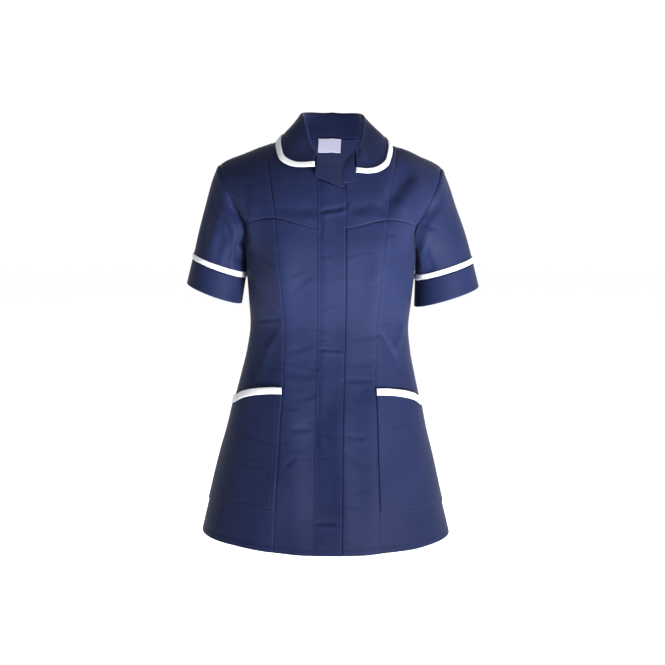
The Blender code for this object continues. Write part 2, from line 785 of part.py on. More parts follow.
def make_lapel(side, name):
    """The corner of one front, turned back over it along the fold line."""
    lapel = lapel_row(side)
    line = fold_line(lapel)
    foot_z, top_z = lapel["foot_z"], lapel["top_z"]
    tip_share = (lapel["tip_z"] - foot_z) / (top_z - foot_z)
    outer, inner = [], []
    for i in range(9):
        share = 0.06 + 0.94 * i / 8
        z_fold = foot_z + (top_z - foot_z) * share
        x_fold = line(z_fold)
        if share < tip_share:
            part = share / tip_share
            x_edge = lapel["foot_x"] + (lapel["tip_x"] - lapel["foot_x"]) * part
            z_edge = foot_z + (lapel["tip_z"] - foot_z) * part
        else:
            part = (share - tip_share) / (1 - tip_share)
            x_edge = lapel["tip_x"] + (lapel["edge_x"] - lapel["tip_x"]) * part**LAPEL_HOLLOW
            z_edge = lapel["tip_z"] + (top_z - lapel["tip_z"]) * part
        top_row, low_row = [], []
        for j in range(6):
            across = j / 5
            x = x_fold + (x_edge - x_fold) * across
            z = z_fold + (z_edge - z_fold) * across
            z = min(z, front_neck_z(x) - 0.0004)
            rise = LAPEL_LIFT * math.sin(math.pi / 2 * min(abs(x - x_fold) / 0.03, 1.0))
            top_row.append(on_body(x, z, "front", GAP + rise + WALL)[0])
            low_row.append(on_body(x, z, "front", GAP + rise)[0])
        outer.append(top_row)
        inner.append(low_row)
    wall_object(f"lapel_{name}", outer, inner, navy)


def neck_point(side, angle):
    """A point of the neckline by the angle round the neck, 0 at the centre back."""
    turn = math.radians(angle)
    depth = NECK_DEPTH_BACK if angle < 90 else NECK_DEPTH_FRONT
    x = side * NECK_HALF_WIDTH * math.sin(turn)
    y = depth * math.cos(turn)
    return np.array((x, y, height_over(x, y)))


def collar_section(side, share):
    """Middle line of the collar at one place round the neck, from its seam to its edge."""
    end = COLLAR_END_LEFT if side < 0 else COLLAR_END_RIGHT
    neck = neck_point(side, share * end)
    ahead = neck_point(side, min(share * end + 2, 179.9))
    behind = neck_point(side, max(share * end - 2, 0.0))
    along = unit(ahead - behind)
    face = "back" if share * end < 90 else "front"
    x, y, z = neck
    normal = body_normal(angle_at(x, z), climb_at(x, z, face), face)
    inward = unit(np.cross(along, normal)) * side
    if inward @ np.array((-x, -y, 0.0)) < 0:
        inward = -inward
    shift = COLLAR_SKEW * share**2
    edge_x = side * collar["edge_x"](share) + shift
    edge_y = collar["edge_y"](share) - side * COLLAR_TURN * share**2
    edge = over_body(edge_x, edge_y, COLLAR_LIFT)
    outward = edge - neck
    outward[2] = 0.0
    outward = unit(outward)
    up = np.array((0.0, 0.0, 1.0))
    radius = collar["radius"](share)
    centre = neck - outward * collar["roll_in"](share) + up * (collar["roll_up"](share) - radius)
    centre[0] += shift * 0.5 * ease(share * 2) * (1 - ease(share * 2 - 1))
    start = neck + inward * (COLLAR_SEAM_GAP + WALL / 2) - normal * WALL / 2
    turn_in = centre - outward * radius
    section = [start, start + (turn_in - start) * 0.35, start + (turn_in - start) * 0.7]
    for step in range(5):
        turn = math.pi * step / 4
        section.append(centre - outward * radius * math.cos(turn) + up * radius * math.sin(turn))
    leave = section[-1]
    fall = unit(edge - leave)
    belly = collar["belly"](share)
    bulge = unit(outward - fall * (outward @ fall))
    for step in range(1, 7):
        part = step / 6
        point = leave + (edge - leave) * part + bulge * belly * math.sin(math.pi * part)
        section.append(cleared(point))
    return section


def cleared(point):
    """A point of the collar's leaf, raised where it would come too near the body."""
    x, y, z = point
    inside_neck = (x / NECK_HALF_WIDTH) ** 2 + (y / 0.07) ** 2 < 1.0
    if inside_neck:
        return point
    floor = over_body(x, y, COLLAR_LIFT)
    return floor if floor[2] > z else point


def make_collar():
    steps = [i / COLLAR_STEPS for i in range(COLLAR_STEPS + 1)]
    sections = [collar_section(-1, share) for share in reversed(steps)]
    sections += [collar_section(1, share) for share in steps[1:]]
    grid = [list(row) for row in zip(*sections)]
    outer, inner = thick_sheet("collar", grid, navy)
    leaf = outer if outer[-1][COLLAR_STEPS][1] > inner[-1][COLLAR_STEPS][1] else inner
    under = inner if leaf is outer else outer
    low, high = [], []
    for j in range(leaf.shape[1]):
        column_low, column_high = [], []
        for reach in (COLLAR_TRIM_WIDTH * share for share in (1.0, 0.75, 0.5, 0.25, 0.0)):
            row, share = -1, reach
            while share > np.linalg.norm(leaf[row][j] - leaf[row - 1][j]):
                share -= np.linalg.norm(leaf[row][j] - leaf[row - 1][j])
                row -= 1
            share /= np.linalg.norm(leaf[row][j] - leaf[row - 1][j])
            point = leaf[row][j] + (leaf[row - 1][j] - leaf[row][j]) * share
            behind = under[row][j] + (under[row - 1][j] - under[row][j]) * share
            column_low.append(point + unit(point - behind) * COLLAR_TRIM_GAP)
            column_high.append(point + unit(point - behind) * (COLLAR_TRIM_GAP + TRIM_WALL))
        low.append(column_low)
        high.append(column_high)
    wall_object("collar_trim", list(zip(*high)), list(zip(*low)), white)


def make_label():
    outer, inner = [], []
    for row in range(4):
        drop = LABEL_HEIGHT * row / 3
        line_front, line_back = [], []
        for column in range(4):
            x = LABEL_LEFT_X + (LABEL_RIGHT_X - LABEL_LEFT_X) * column / 3
            share = x / NECK_HALF_WIDTH
            neck_y = NECK_DEPTH_BACK * math.sqrt(1 - share * share)
            y = neck_y - LABEL_INSET + LABEL_LEAN * drop
            z = height_over(x, neck_y) - drop
            line_back.append(np.array((x, y, z)))
            line_front.append(np.array((x, y - TRIM_WALL, z)))
        outer.append(line_front)
        inner.append(line_back)
    wall_object("label", outer, inner, label_white)


def sleeve_rings(side, front_edge, back_edge):
    """Middle lines of one sleeve, ring by ring, from the armhole to the top of the cuff, and
    the rings of the cuff down to its hem."""
    row = next(r for r in named_rows(SLEEVE_ROWS, SLEEVE_COLUMNS) if r["side"] == side)
    tilt, lean = math.radians(row["tilt"]), math.radians(row["lean"])
    across = np.array((side * math.cos(tilt), 0.0, math.sin(tilt)))
    down = np.array((side * math.sin(lean), 0.0, -math.cos(lean)))
    depthwise = np.array((0.0, 1.0, 0.0))
    hem = np.array((side * row["hem_x"], SLEEVE_CENTRE_Y, row["hem_z"]))
    edge = front_edge + back_edge[::-1][1:-1]
    count, top = len(edge), len(front_edge) - 1
    for i, pair in ((0, (front_edge[0], back_edge[0])), (top, (front_edge[-1], back_edge[-1]))):
        edge[i] = tuple((one + other) / 2 for one, other in zip(*pair))
    edge[0] = edge[0][:2] + (np.array((0.0, 0.0, 1.0)),)
    points = np.array([found[0] for found in edge])
    lengths = [np.linalg.norm(points[(i + 1) % count] - points[i]) for i in range(count)]
    front_length, back_length = sum(lengths[:top]), sum(lengths[top:])
    turns = []
    for i in range(count):
        if i <= top:
            turns.append(-math.pi * sum(lengths[:i]) / front_length)
        else:
            turns.append(-math.pi - math.pi * sum(lengths[top:i]) / back_length)

    def ring(centre, half, depth):
        return [
            centre - across * half * math.cos(t) + depthwise * depth * math.sin(t) for t in turns
        ]

    def cuff_ring(height):
        share = height / CUFF_HEIGHT
        half = row["half_width"] - row["flare"] * share
        return ring(hem - down * height, half, row["half_depth"] - row["flare"] * 0.3 * share)

    target, foot = cuff_ring(CUFF_HEIGHT + GAP), cuff_ring(0.0)
    outward = unit(np.array((side * 1.0, 0.0, -0.30)))
    starts, pulls, gaps = [], [], []
    for i, (point, normal, off_panel) in enumerate(edge):
        away = unit(np.cross(normal, points[(i + 1) % count] - points[i - 1]))
        if away @ off_panel < 0:
            away = -away
        rise = (1 - math.cos(turns[i])) / 2
        way = unit(away * (0.15 + 0.45 * rise) + outward * 0.8)
        start = point + away * (ARMHOLE_GAP + WALL / 2 * (1 - way @ away)) - normal * WALL / 2
        starts.append(start)
        gaps.append(np.linalg.norm(target[i] - start))
        pulls.append(way * (0.50 + (row["puff"] - 0.50) * rise) * gaps[i])
    rings = []
    for level in SLEEVE_RINGS + ("braid top", "braid middle", "cuff"):
        line = []
        for i in range(count):
            braid = SLEEVE_TRIM_HEIGHT / (SLEEVE_PULL * gaps[i])
            named = {"braid top": 1 - braid, "braid middle": 1 - braid / 2, "cuff": 1.0}
            t = named[level] if level in named else level * (1 - braid)
            line.append(
                starts[i] * (1 + 2 * t) * (1 - t) ** 2
                + pulls[i] * t * (1 - t) ** 2
                + target[i] * t * t * (3 - 2 * t)
                + unit(foot[i] - target[i]) * SLEEVE_PULL * gaps[i] * t * t * (t - 1)
            )
        rings.append(line)
    cuffs = [cuff_ring(CUFF_HEIGHT * share) for share in (1.0, 0.66, 0.33, 0.0)]
    return rings, cuffs


def make_sleeve(side, name, front_edge, back_edge):
    """A sleeve, its cuff, and the braid over their seam."""
    rings, cuffs = sleeve_rings(side, front_edge, back_edge)
    one, other = thick_sheet(f"sleeve_{name}", rings, navy, closed=True)
    thick_sheet(f"cuff_{name}", cuffs, navy, closed=True)
    centre = np.mean(one[-1], axis=0)
    wider = np.linalg.norm(one[-1] - centre, axis=1).sum()
    outer, inner = one, other
    if wider < np.linalg.norm(other[-1] - centre, axis=1).sum():
        outer, inner = other, one
    low, high = [], []
    for over, under in zip(outer[-3:], inner[-3:]):
        normals = [unit(p - q) for p, q in zip(over, under)]
        low.append([p + n * GAP for p, n in zip(over, normals)])
        high.append([p + n * (GAP + TRIM_WALL) for p, n in zip(over, normals)])
    wall_object(f"sleeve_trim_{name}", high, low, white, closed=True)


def main():
    edges_back = make_back()
    for side, name in ((-1, "left"), (1, "right")):
        front_edge, (centre, side_front) = make_front(side, name)
        if side < 0:
            make_placket(centre[0] + centre[1][1:])
        make_pocket(name, side_front[0])
        make_lapel(side, name)
        make_sleeve(side, name, front_edge, edges_back[0 if side < 0 else 1])
    make_zip()
    make_collar()
    make_label()


for old in list(bpy.data.objects):
    bpy.data.objects.remove(old)
parts = bpy.data.collections.new("work_tunic")
bpy.context.scene.collection.children.link(parts)
navy = cloth("navy_cloth", NAVY, 0.85)
white = cloth("white_braid", WHITE, 0.8)
label_white = cloth("label_white", WHITE, 0.6)
zip_navy = cloth("zip_tape", ZIP_NAVY, 0.7)
main()
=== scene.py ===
import math

import bmesh
import bpy
import numpy as np
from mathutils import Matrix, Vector


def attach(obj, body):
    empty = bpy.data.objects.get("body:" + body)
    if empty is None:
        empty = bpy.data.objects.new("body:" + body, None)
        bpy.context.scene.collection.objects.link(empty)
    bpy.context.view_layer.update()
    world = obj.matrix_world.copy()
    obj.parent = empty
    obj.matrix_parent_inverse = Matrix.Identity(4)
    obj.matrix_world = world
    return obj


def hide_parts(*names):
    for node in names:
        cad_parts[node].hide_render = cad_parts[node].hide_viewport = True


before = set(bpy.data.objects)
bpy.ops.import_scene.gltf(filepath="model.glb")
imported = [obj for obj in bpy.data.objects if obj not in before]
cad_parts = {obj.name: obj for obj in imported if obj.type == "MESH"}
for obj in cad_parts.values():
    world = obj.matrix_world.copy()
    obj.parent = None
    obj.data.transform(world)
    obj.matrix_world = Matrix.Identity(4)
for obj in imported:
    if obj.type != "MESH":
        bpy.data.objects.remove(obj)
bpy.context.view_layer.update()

scene = bpy.context.scene
scene.view_settings.view_transform = "Standard"
sides = ((-1, "Left"), (1, "Right"))  # as the photograph shows them

# the body's form, in metres, +Z up, the front faces -Y

body = {
    "shoulder": ((0.0, 0.0470), (0.03, 0.0420), (0.065, 0.0318), (0.0995, 0.0228), (0.1239, 0.0156),
                 (0.1525, 0.0035), (0.1804, -0.0090), (0.1915, -0.0160), (0.24, -0.0450)),  # x, z
    "sections": (  # level, half width, front, back, squareness
        (0.060, 0.2350, 0.128, 0.108, 2.50), (-0.016, 0.2210, 0.128, 0.108, 2.50),
        (-0.048, 0.2100, 0.128, 0.108, 2.50), (-0.079, 0.1960, 0.128, 0.108, 2.50),
        (-0.114, 0.1730, 0.128, 0.107, 2.50), (-0.140, 0.1585, 0.128, 0.105, 2.50),
        (-0.165, 0.1492, 0.128, 0.103, 2.48), (-0.200, 0.1468, 0.126, 0.097, 2.44),
        (-0.250, 0.1424, 0.111, 0.088, 2.36), (-0.293, 0.1391, 0.100, 0.083, 2.30),
        (-0.336, 0.1439, 0.101, 0.087, 2.28), (-0.379, 0.1532, 0.108, 0.098, 2.26),
        (-0.433, 0.1660, 0.119, 0.113, 2.24), (-0.477, 0.1758, 0.127, 0.122, 2.22),
        (-0.521, 0.1876, 0.134, 0.129, 2.20), (-0.565, 0.1979, 0.140, 0.135, 2.18),
        (-0.609, 0.2075, 0.145, 0.140, 2.16), (-0.654, 0.2178, 0.150, 0.145, 2.14),
        (-0.700, 0.2270, 0.154, 0.149, 2.12)),
    "hemZ": -0.6715,
    "underarmZ": -0.165,
    "armholeWidestZ": -0.100,
    "levelTopZ": -0.127,
    "archZ": (-0.165, -0.090),  # front, back
    "archPower": (1.8, 2.6),
    "neckHalfWidth": 0.065,
    "neckBack": 0.064,
    "neckFront": 0.073,
    "shoulderSway": -0.0025,
    "hemSway": -0.0096,
    "slant": 0.016,
    "turn": 0.022,
    "hemRise": 0.0060,
    "wall": 0.0012,
}

folds = (  # on the front, both ends seen from the front, half width, height
    (True, -0.090, -0.180, -0.082, -0.150, 0.034, 0.0045),
    (True, 0.090, -0.180, 0.082, -0.150, 0.034, 0.0045),
    (True, 0.118, -0.020, 0.094, -0.085, 0.013, -0.0035),
    (True, -0.060, -0.440, -0.052, -0.670, 0.020, 0.0026),
    (True, -0.004, -0.430, -0.006, -0.600, 0.024, -0.0016),
    (True, 0.062, -0.420, 0.066, -0.670, 0.022, 0.0026),
    (True, -0.138, -0.450, -0.160, -0.670, 0.024, -0.0024),
    (True, 0.128, -0.450, 0.150, -0.670, 0.024, 0.0024),
    (True, -0.088, -0.300, -0.128, -0.372, 0.009, -0.0026),
    (True, 0.084, -0.300, 0.118, -0.362, 0.009, -0.0026),
    (False, 0.000, -0.400, 0.000, -0.670, 0.026, -0.0030),
    (False, 0.085, -0.400, 0.105, -0.670, 0.026, 0.0030),
    (False, -0.085, -0.400, -0.105, -0.670, 0.026, 0.0030),
    (False, 0.060, -0.275, -0.060, -0.280, 0.011, -0.0026),
    (False, 0.090, -0.230, 0.125, -0.170, 0.012, -0.0022),
    (False, -0.090, -0.230, -0.125, -0.170, 0.012, -0.0022),
)


def curveThrough(rows):  # smooth, and never overshoots between its points
    xs, ys = np.array(sorted(rows), float).T
    steps = np.diff(xs)
    slopes = np.diff(ys) / steps
    tangents = np.concatenate(([slopes[0]], np.zeros(len(xs) - 2), [slopes[-1]]))
    for i in range(1, len(xs) - 1):
        before, after = slopes[i - 1], slopes[i]
        if before * after > 0:
            w1, w2 = 2 * steps[i] + steps[i - 1], steps[i] + 2 * steps[i - 1]
            tangents[i] = (w1 + w2) / (w1 / before + w2 / after)

    def at(x):
        x = np.clip(x, xs[0], xs[-1])
        i = np.clip(np.searchsorted(xs, x) - 1, 0, len(steps) - 1)
        h = steps[i]
        t = (x - xs[i]) / h
        start = (1 + 2 * t) * (1 - t) ** 2 * ys[i] + t * (1 - t) ** 2 * h * tangents[i]
        return start + t * t * (3 - 2 * t) * ys[i + 1] + t * t * (t - 1) * h * tangents[i + 1]

    return at


def ease(t):
    t = np.clip(t, 0.0, 1.0)
    return t * t * (3 - 2 * t)


def gateOf(z, limits, fades):  # full between two levels, and fading in from each
    return ease((z - limits[0]) / fades[0]) * ease((limits[1] - z) / fades[1])


def signedPower(value, power):
    return np.sign(value) * np.abs(value) ** power


def unit(v):
    return v / np.maximum(np.linalg.norm(v, axis=-1, keepdims=True), 1e-12)


def vec(x, y, z):
    return np.stack(np.broadcast_arrays(x, y, z), axis=-1).astype(float)


def column(k):
    return curveThrough([(row[0], row[k]) for row in body["sections"]])


halfWidth, frontReach, backReach, squareness = (column(k) for k in (1, 2, 3, 4))
shoulderLine = curveThrough(body["shoulder"])


def shoulderZ(x):
    return shoulderLine(np.abs(x))


def archOf(front):
    starts, powers = body["archZ"], body["archPower"]
    return np.where(front, starts[0], starts[1]), np.where(front, powers[0], powers[1])


def reachOf(z, front):
    return np.where(front, frontReach(z), backReach(z))


def xAt(angle, z):
    return halfWidth(z) * signedPower(np.sin(angle), 2 / squareness(z))


def levelTop(x):
    return body["levelTopZ"] + 0 * x


def foldRelief(x, z, front):
    total = 0.0
    for face, x1, z1, x2, z2, width, height in folds:
        runX, runZ = x2 - x1, z2 - z1
        along = ((x - x1) * runX + (z - z1) * runZ) / (runX**2 + runZ**2)
        near = np.clip(along, 0.0, 1.0)
        away = np.hypot(x - x1 - near * runX, z - z1 - near * runZ) / width
        total = total + np.where(front == face, height * np.exp(-away * away), 0.0)
    return total


def bodyPoint(angle, climb, front):  # angle from the centre line, climb along the cloth
    start, arch = archOf(front)
    up = climb > 0
    z = start + np.minimum(climb, 0.0)
    for _ in range(5):
        x = xAt(angle, z)
        rise = shoulderZ(x) - start
        z = np.where(up, start + rise * np.abs(np.sin(climb / rise)) ** (2 / arch), z)
    depth = reachOf(z, front) * signedPower(np.cos(angle), 2 / squareness(z))
    depth = np.where(up, depth * signedPower(np.cos(climb / rise), 2 / arch), depth)
    depth = depth + foldRelief(x, z, front) * np.minimum(1.0, np.abs(depth) / 0.02)
    return vec(x, np.where(front, -depth, depth), z)


def angleAt(x, z):
    share = np.minimum(np.abs(x) / halfWidth(z), 1.0)
    return np.sign(x) * np.arcsin(share ** (squareness(z) / 2))


def climbAt(x, z, front):
    start, arch = archOf(front)
    rise = shoulderZ(x) - start
    share = np.clip((z - start) / rise, 0.0, 1.0)
    return np.where(z <= start, z - start, rise * np.arcsin(share ** (arch / 2)))


def bodyNormal(angle, climb, front):
    wide, tall = 0.004, 0.0004
    across = bodyPoint(angle + wide, climb, front) - bodyPoint(angle - wide, climb, front)
    up = bodyPoint(angle, climb + tall, front) - bodyPoint(angle, climb - tall, front)
    normal = unit(np.cross(across, up))
    point = bodyPoint(angle, climb, front)
    point[..., 2] -= np.minimum(point[..., 2], -0.12)
    return np.where((normal * point).sum(-1, keepdims=True) > 0, normal, -normal)


def heightOver(x, y):
    front = y < 0
    start, arch = archOf(front)
    z = np.zeros(np.broadcast(x, y).shape)
    for _ in range(12):
        power = squareness(z)
        wide = np.minimum(np.abs(x) / halfWidth(z), 1.0)
        depth = np.maximum(reachOf(z, front) * (1 - wide**power) ** (1 / power), 1e-6)
        share = np.minimum(np.abs(y) / depth, 1.0)
        z = start + (shoulderZ(x) - start) * (1 - share**arch) ** (1 / arch)
    return z


def onBody(x, z, front, lift):  # points over the form, and its normals there
    angle, climb = angleAt(x, z), climbAt(x, z, front)
    normal = bodyNormal(angle, climb, front)
    return bodyPoint(angle, climb, front) + normal * np.asarray(lift)[..., None], normal


def overBody(x, y, lift):
    return onBody(x, heightOver(x, y), y < 0, lift)[0]


def hang(p):  # the lean and turn of the whole tunic
    x, y, z = p[..., 0], p[..., 1], p[..., 2]
    sway = body["shoulderSway"] * ease((0.04 - z) / 0.06) + body["hemSway"] * ease((-z - 0.10) / 0.52)
    turn = body["turn"] * ease((-z - 0.12) / 0.20)
    rise = body["hemRise"] * (np.abs(x) / 0.2) ** 1.5 * ease((-z - 0.50) / 0.17)
    return vec(x + sway - turn * y, y + turn * x, z - body["slant"] * x + rise)


# creases, seen from the front, in mm but for the ridge: both ends, half width, depth, ridge beside it, bend

creases = {
    "front": (
        (-18.3, -89.4, 25, -78.9, 3.6, 2.4, 0.7, 1.5), (-15, -102.5, -17.1, -140.3, 2.2, 1, -0.5, 0),  # placket fold
        (26.7, -67.5, 25, -95.3, 2.6, 1.1, -0.4, 0),  # beside closing
        (-51.7, -104.8, -20, -114, 2.2, 0.7, 0.7, -1),  # bust seam end
        (-92.1, -81.2, -18.3, -89.4, 9, 1.9, 0.5, 2),  # upper chest left
        (26.7, -83.8, 102.3, -81.6, 9, 1.9, 0.5, -2),  # upper chest right
        (138, -17.3, 97.2, -78.4, 12, 4, -0.6, 2),  # chest right diagonal
        (-149.3, -50, -138.4, -96.3, 7, 1.4, -0.6, 2),  # chest left vertical
        (148.9, -92.1, 145.2, -140.7, 4, 2, -0.4, 0),  # armhole front right
        (-143.7, -96.5, -141.6, -148.5, 4, 1.6, -0.4, 0),  # armhole front left
        (-78.9, -197.7, -46.8, -187.8, 3.5, 0.6, 0.6, 1),
        (-67.3, -223.1, -25.1, -189, 4.5, 0.8, 0.7, 1),  # under bust left
        (-52.1, -250.6, -23.5, -237.4, 3, 0.7, 0.6, 1), (-47, -225.8, -25.2, -216.4, 3, 0.5, 0.6, 0),  # under bust left
        (69, -215.9, 96, -182.2, 6, 0.9, 0.6, 1),  # under bust right
        (-75, -328.5, -29.3, -314.5, 5, 0.9, 0.5, 1), (-74.1, -362.3, -24.5, -370.2, 6, 1.1, 0.5, 2),  # left centre
        (-18.5, -233.7, -8.4, -231.8, 1.8, 0.6, 0.6, 0), (-16.7, -250.4, 20.3, -245.5, 3, 1, 0.6, 0),  # placket
        (-18.1, -276, -6.3, -275.8, 1.8, 1, 0.6, 0), (-17.8, -291.9, -4.2, -294.3, 2, 1.2, 0.7, 0),  # placket
        (-18.4, -305.7, -5.7, -308, 1.8, 1.2, 0.7, 0), (-18.9, -323.7, 24, -326.8, 2.6, 2, 0.7, -1.4),  # placket
        (-16.1, -366.7, -7.6, -368.2, 2.2, 0.9, 0.5, 0),  # placket
        (-17.4, -381.8, -15.5, -428.3, 2, 0.8, -0.5, 0),  # placket edge
        (-125, -283.5, -79.3, -270.6, 3, 1.4, 0.6, -1),  # left side across
        (-93, -274.3, -79.3, -268.8, 2.4, 1.1, 0.6, 0),  # left side across end
        (-79.2, -280.3, -123.9, -384.3, 7.5, -4, 0, 1.5),
        (-103.3, -241.6, -82.7, -268.1, 6, 1, -0.6, 1),  # left side diagonal
        (80, -276.4, 102.3, -282.2, 2, 1.1, 0.6, -0.4),
        (103.5, -268, 120.1, -271.6, 2, 0.6, 0.6, 0),  # right side short
        (80.4, -288.9, 116.8, -345.2, 4, 1.4, -0.5, 1),
        (124.6, -285.9, 113, -336.3, 5.5, -2.6, 0, 0),  # right side diagonal
        (120.6, -349, 138.2, -388.9, 9, 1.4, 0, 0),  # right side hollow
        (30, -373, 76.6, -379.1, 5, 1.1, 0.6, -2), (33.4, -301.7, 78.1, -299.3, 6, 0.6, 0.5, 1),  # right centre
        (93.8, -115.5, 112.5, -113.2, 1.8, 0.7, 0.7, -0.5),
        (93.8, -128, 107.5, -126.6, 1.8, 0.6, 0.7, -0.5),  # right side bust
        (93.9, -143.1, 105.9, -140, 2, 0.5, 0.7, -0.5),  # right side bust
        (-24.2, -460.2, -13.5, -490, 3.5, 1.4, -0.7, 0), (-7.2, -461.6, 18.5, -474.7, 3.5, 1.2, 0.6, 1),  # lower
        (28.6, -464.7, 66.4, -472.2, 4, 1.2, 0.6, 1.5), (30.6, -484.8, 51.6, -516.9, 5, 1.1, -0.6, 1),  # lower
        (-74.1, -524.4, -54, -503.1, 4, 1.1, 0.6, 1), (-68.3, -463.7, -27.8, -452, 5, 1.1, 0.6, 1),  # lower
        (4, -521.6, 28.1, -541.8, 4, 0.9, -0.6, 0), (-49.1, -409.4, -18.8, -396.8, 4, 0.9, 0.6, 0),  # lower
        (-41.2, -609.9, -19.1, -614.1, 2.4, 0.9, 0.6, 0),  # above j stitch
        (-20.8, -615.8, 18.2, -617.9, 2.8, 2, 0.7, -1),  # under j stitch
        (-91.5, -105, -77.2, -360, 21, -6.2, 0, 0),  # left princess seam stands out
        (-77.2, -290, -87, -630, 21, -3.8, 0, 0),  # and further down
        (77.2, -290, 88, -640, 21, -5.6, 0, 0),  # right princess seam stands out
        (91.5, -105, 77.2, -360, 21, -5.6, 0, 0),  # and above the waist
        (-22, -400, -20, -670, 23, 5.2, 0, 0),  # hollow along the closing
        (27, -400, 29, -670, 21, -6.2, 0, 0),  # fold beside the closing
        (-36.2, -656.5, -22.7, -671.2, 3, 0.7, -0.7, 0),  # hem left
        (28.4, -652.1, 42, -671.4, 3, 0.6, -0.7, 0),  # hem right
    ),
    "back": (
        (-105, -262, 20, -272, 6, 2, -0.6, 4),  # waist, left
        (104, -268, 10, -286, 6, 2, -0.6, -4),  # waist, right
        (-60, -306, 40, -300, 5, 1.3, -0.5, 3),  # small of the back
        (-132, -150, -88, -226, 6, 1.8, 0.6, 3),  # under the arm, left
        (134, -155, 92, -232, 6, 1.8, -0.6, -3),  # under the arm, right
        (-118, -30, -86, -120, 10, 2.2, 0.6, 3),  # shoulder blade, left
        (120, -34, 90, -118, 10, 2.2, -0.6, -3),  # shoulder blade, right
        (-50, -360, -78, -480, 8, 1.6, 0.6, 2),  # hip, left
        (56, -356, 86, -470, 8, 1.6, -0.6, -2),  # hip, right
        (-18, -420, -30, -560, 9, 1.4, 0.6, 2),  # skirt, left
        (22, -430, 34, -590, 9, 1.4, -0.6, -2),  # skirt, right
        (-30, -20, 34, -22, 8, 1, -0.5, 2),  # below the neck
    ),
    "unevenSize": 0.085,
    "unevenHeight": 0.0007,
    "small": {"count": 120, "depth": (0.00015, 0.00050), "width": (0.0018, 0.0042), "length": (0.012, 0.045),
              "tilt": 0.16},
    "seeds": {"front": (41, 11), "back": (42, 12)},  # of the small creases, and of what is uneven
}


def uneven(x, z, seed, size):  # soft, and the same on every run
    rng = np.random.default_rng(seed)
    total = 0.0
    for _ in range(7):
        turn, wave, shift = rng.uniform(0, math.pi), rng.uniform(0.7, 1.5), rng.uniform(0, 6.28)
        total = total + np.sin(6.283 / size * wave * (x * math.cos(turn) + z * math.sin(turn)) + shift)
    return total / 7**0.5


def creaseSum(x, z, rows):
    total = 0.0
    for k, (x1, z1, x2, z2, width, depth, ridge, bend) in enumerate(rows):
        runX, runZ = x2 - x1, z2 - z1
        length = math.hypot(runX, runZ)
        t = ((x - x1) * runX + (z - z1) * runZ) / length**2
        away = ((x - x1) * runZ - (z - z1) * runX) / length - bend * 4 * t * (1 - t)
        away = away + 0.25 * width * np.sin(t * 5.0 + k)
        fade = ease((t + 0.10) / 0.35) * ease((1.10 - t) / 0.35) * (1 + 0.2 * np.sin(t * 9.0 + 2 * k))
        side = np.exp(-(((away - math.copysign(1.7 * width, ridge)) / (1.3 * width)) ** 2))
        total = total + depth * fade * (abs(ridge) * side - np.exp(-((away / width) ** 2)))
    return total


def smallCreases(seed):  # short and nearly level, as washed cotton has them
    small, rng = creases["small"], np.random.default_rng(seed)
    rows = []
    for _ in range(small["count"]):
        x, z, tilt = rng.uniform(-0.17, 0.17), rng.uniform(-0.64, -0.02), rng.normal(0, small["tilt"])
        length = rng.uniform(*small["length"])
        rows.append((x, z, x + length * math.cos(tilt), z + length * math.sin(tilt), rng.uniform(*small["width"]),
                     rng.uniform(*small["depth"]), 0.7, rng.uniform(-0.001, 0.001)))
    return rows


def inMetres(rows):
    return [tuple(value if k == 6 else value / 1000 for k, value in enumerate(row)) for row in rows]


creaseRows = {face: inMetres(creases[face]) + smallCreases(seeds[0]) for face, seeds in creases["seeds"].items()}


def creaseRelief(x, z, face):
    seed = creases["seeds"][face][1]
    return creaseSum(x, z, creaseRows[face]) + creases["unevenHeight"] * uneven(x, z * 0.6, seed, creases["unevenSize"])


# making sheets

madeSheets = {}


def gridNormals(points, closed=False):
    up = np.gradient(points, axis=0)
    if closed:  # the last column repeats the first
        ring = points[:, :-1]
        across = np.roll(ring, -1, axis=1) - np.roll(ring, 1, axis=1)
        across = np.concatenate((across, across[:, :1]), axis=1)
    else:
        across = np.gradient(points, axis=1)
    return unit(np.cross(across, up))


def runAlong(points, axis=0):  # distance from the start of each line
    steps = np.cumsum(np.linalg.norm(np.diff(points, axis=axis), axis=-1), axis=axis)
    return np.concatenate((np.zeros_like(np.take(steps, [0], axis)), steps), axis=axis)


def lengthsOf(points):  # along each row, and up each column
    return runAlong(points, 1), runAlong(points, 0)


def gridMesh(name, points, u, v, closed=False):
    rows, columns = points.shape[:2]
    build = bmesh.new()
    bmesh.ops.create_grid(build, x_segments=columns - 1, y_segments=rows - 1, size=1)
    mesh = bpy.data.meshes.new(name)
    build.loops.layers.uv.new("cut")
    build.to_mesh(mesh)
    build.free()
    co = np.empty(len(mesh.vertices) * 3)
    mesh.vertices.foreach_get("co", co)
    co = co.reshape(-1, 3)
    j = np.rint((co[:, 0] + 1) / 2 * (columns - 1)).astype(int)
    i = np.rint((co[:, 1] + 1) / 2 * (rows - 1)).astype(int)
    mesh.vertices.foreach_set("co", points[i, j].ravel())
    corner = np.empty(len(mesh.loops), int)
    mesh.loops.foreach_get("vertex_index", corner)
    flat = np.stack((u[i, j], v[i, j]), axis=-1)[corner]
    mesh.uv_layers["cut"].data.foreach_set("uv", flat.ravel())
    if closed:
        build = bmesh.new()
        build.from_mesh(mesh)
        bmesh.ops.remove_doubles(build, verts=build.verts, dist=1e-6)
        build.to_mesh(mesh)
        build.free()
    return mesh


def addObject(name, mesh, material):
    mesh.shade_smooth()
    mesh.materials.append(material)
    piece = bpy.data.objects.new(name, mesh)
    scene.collection.objects.link(piece)
    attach(piece, "root")
    return piece


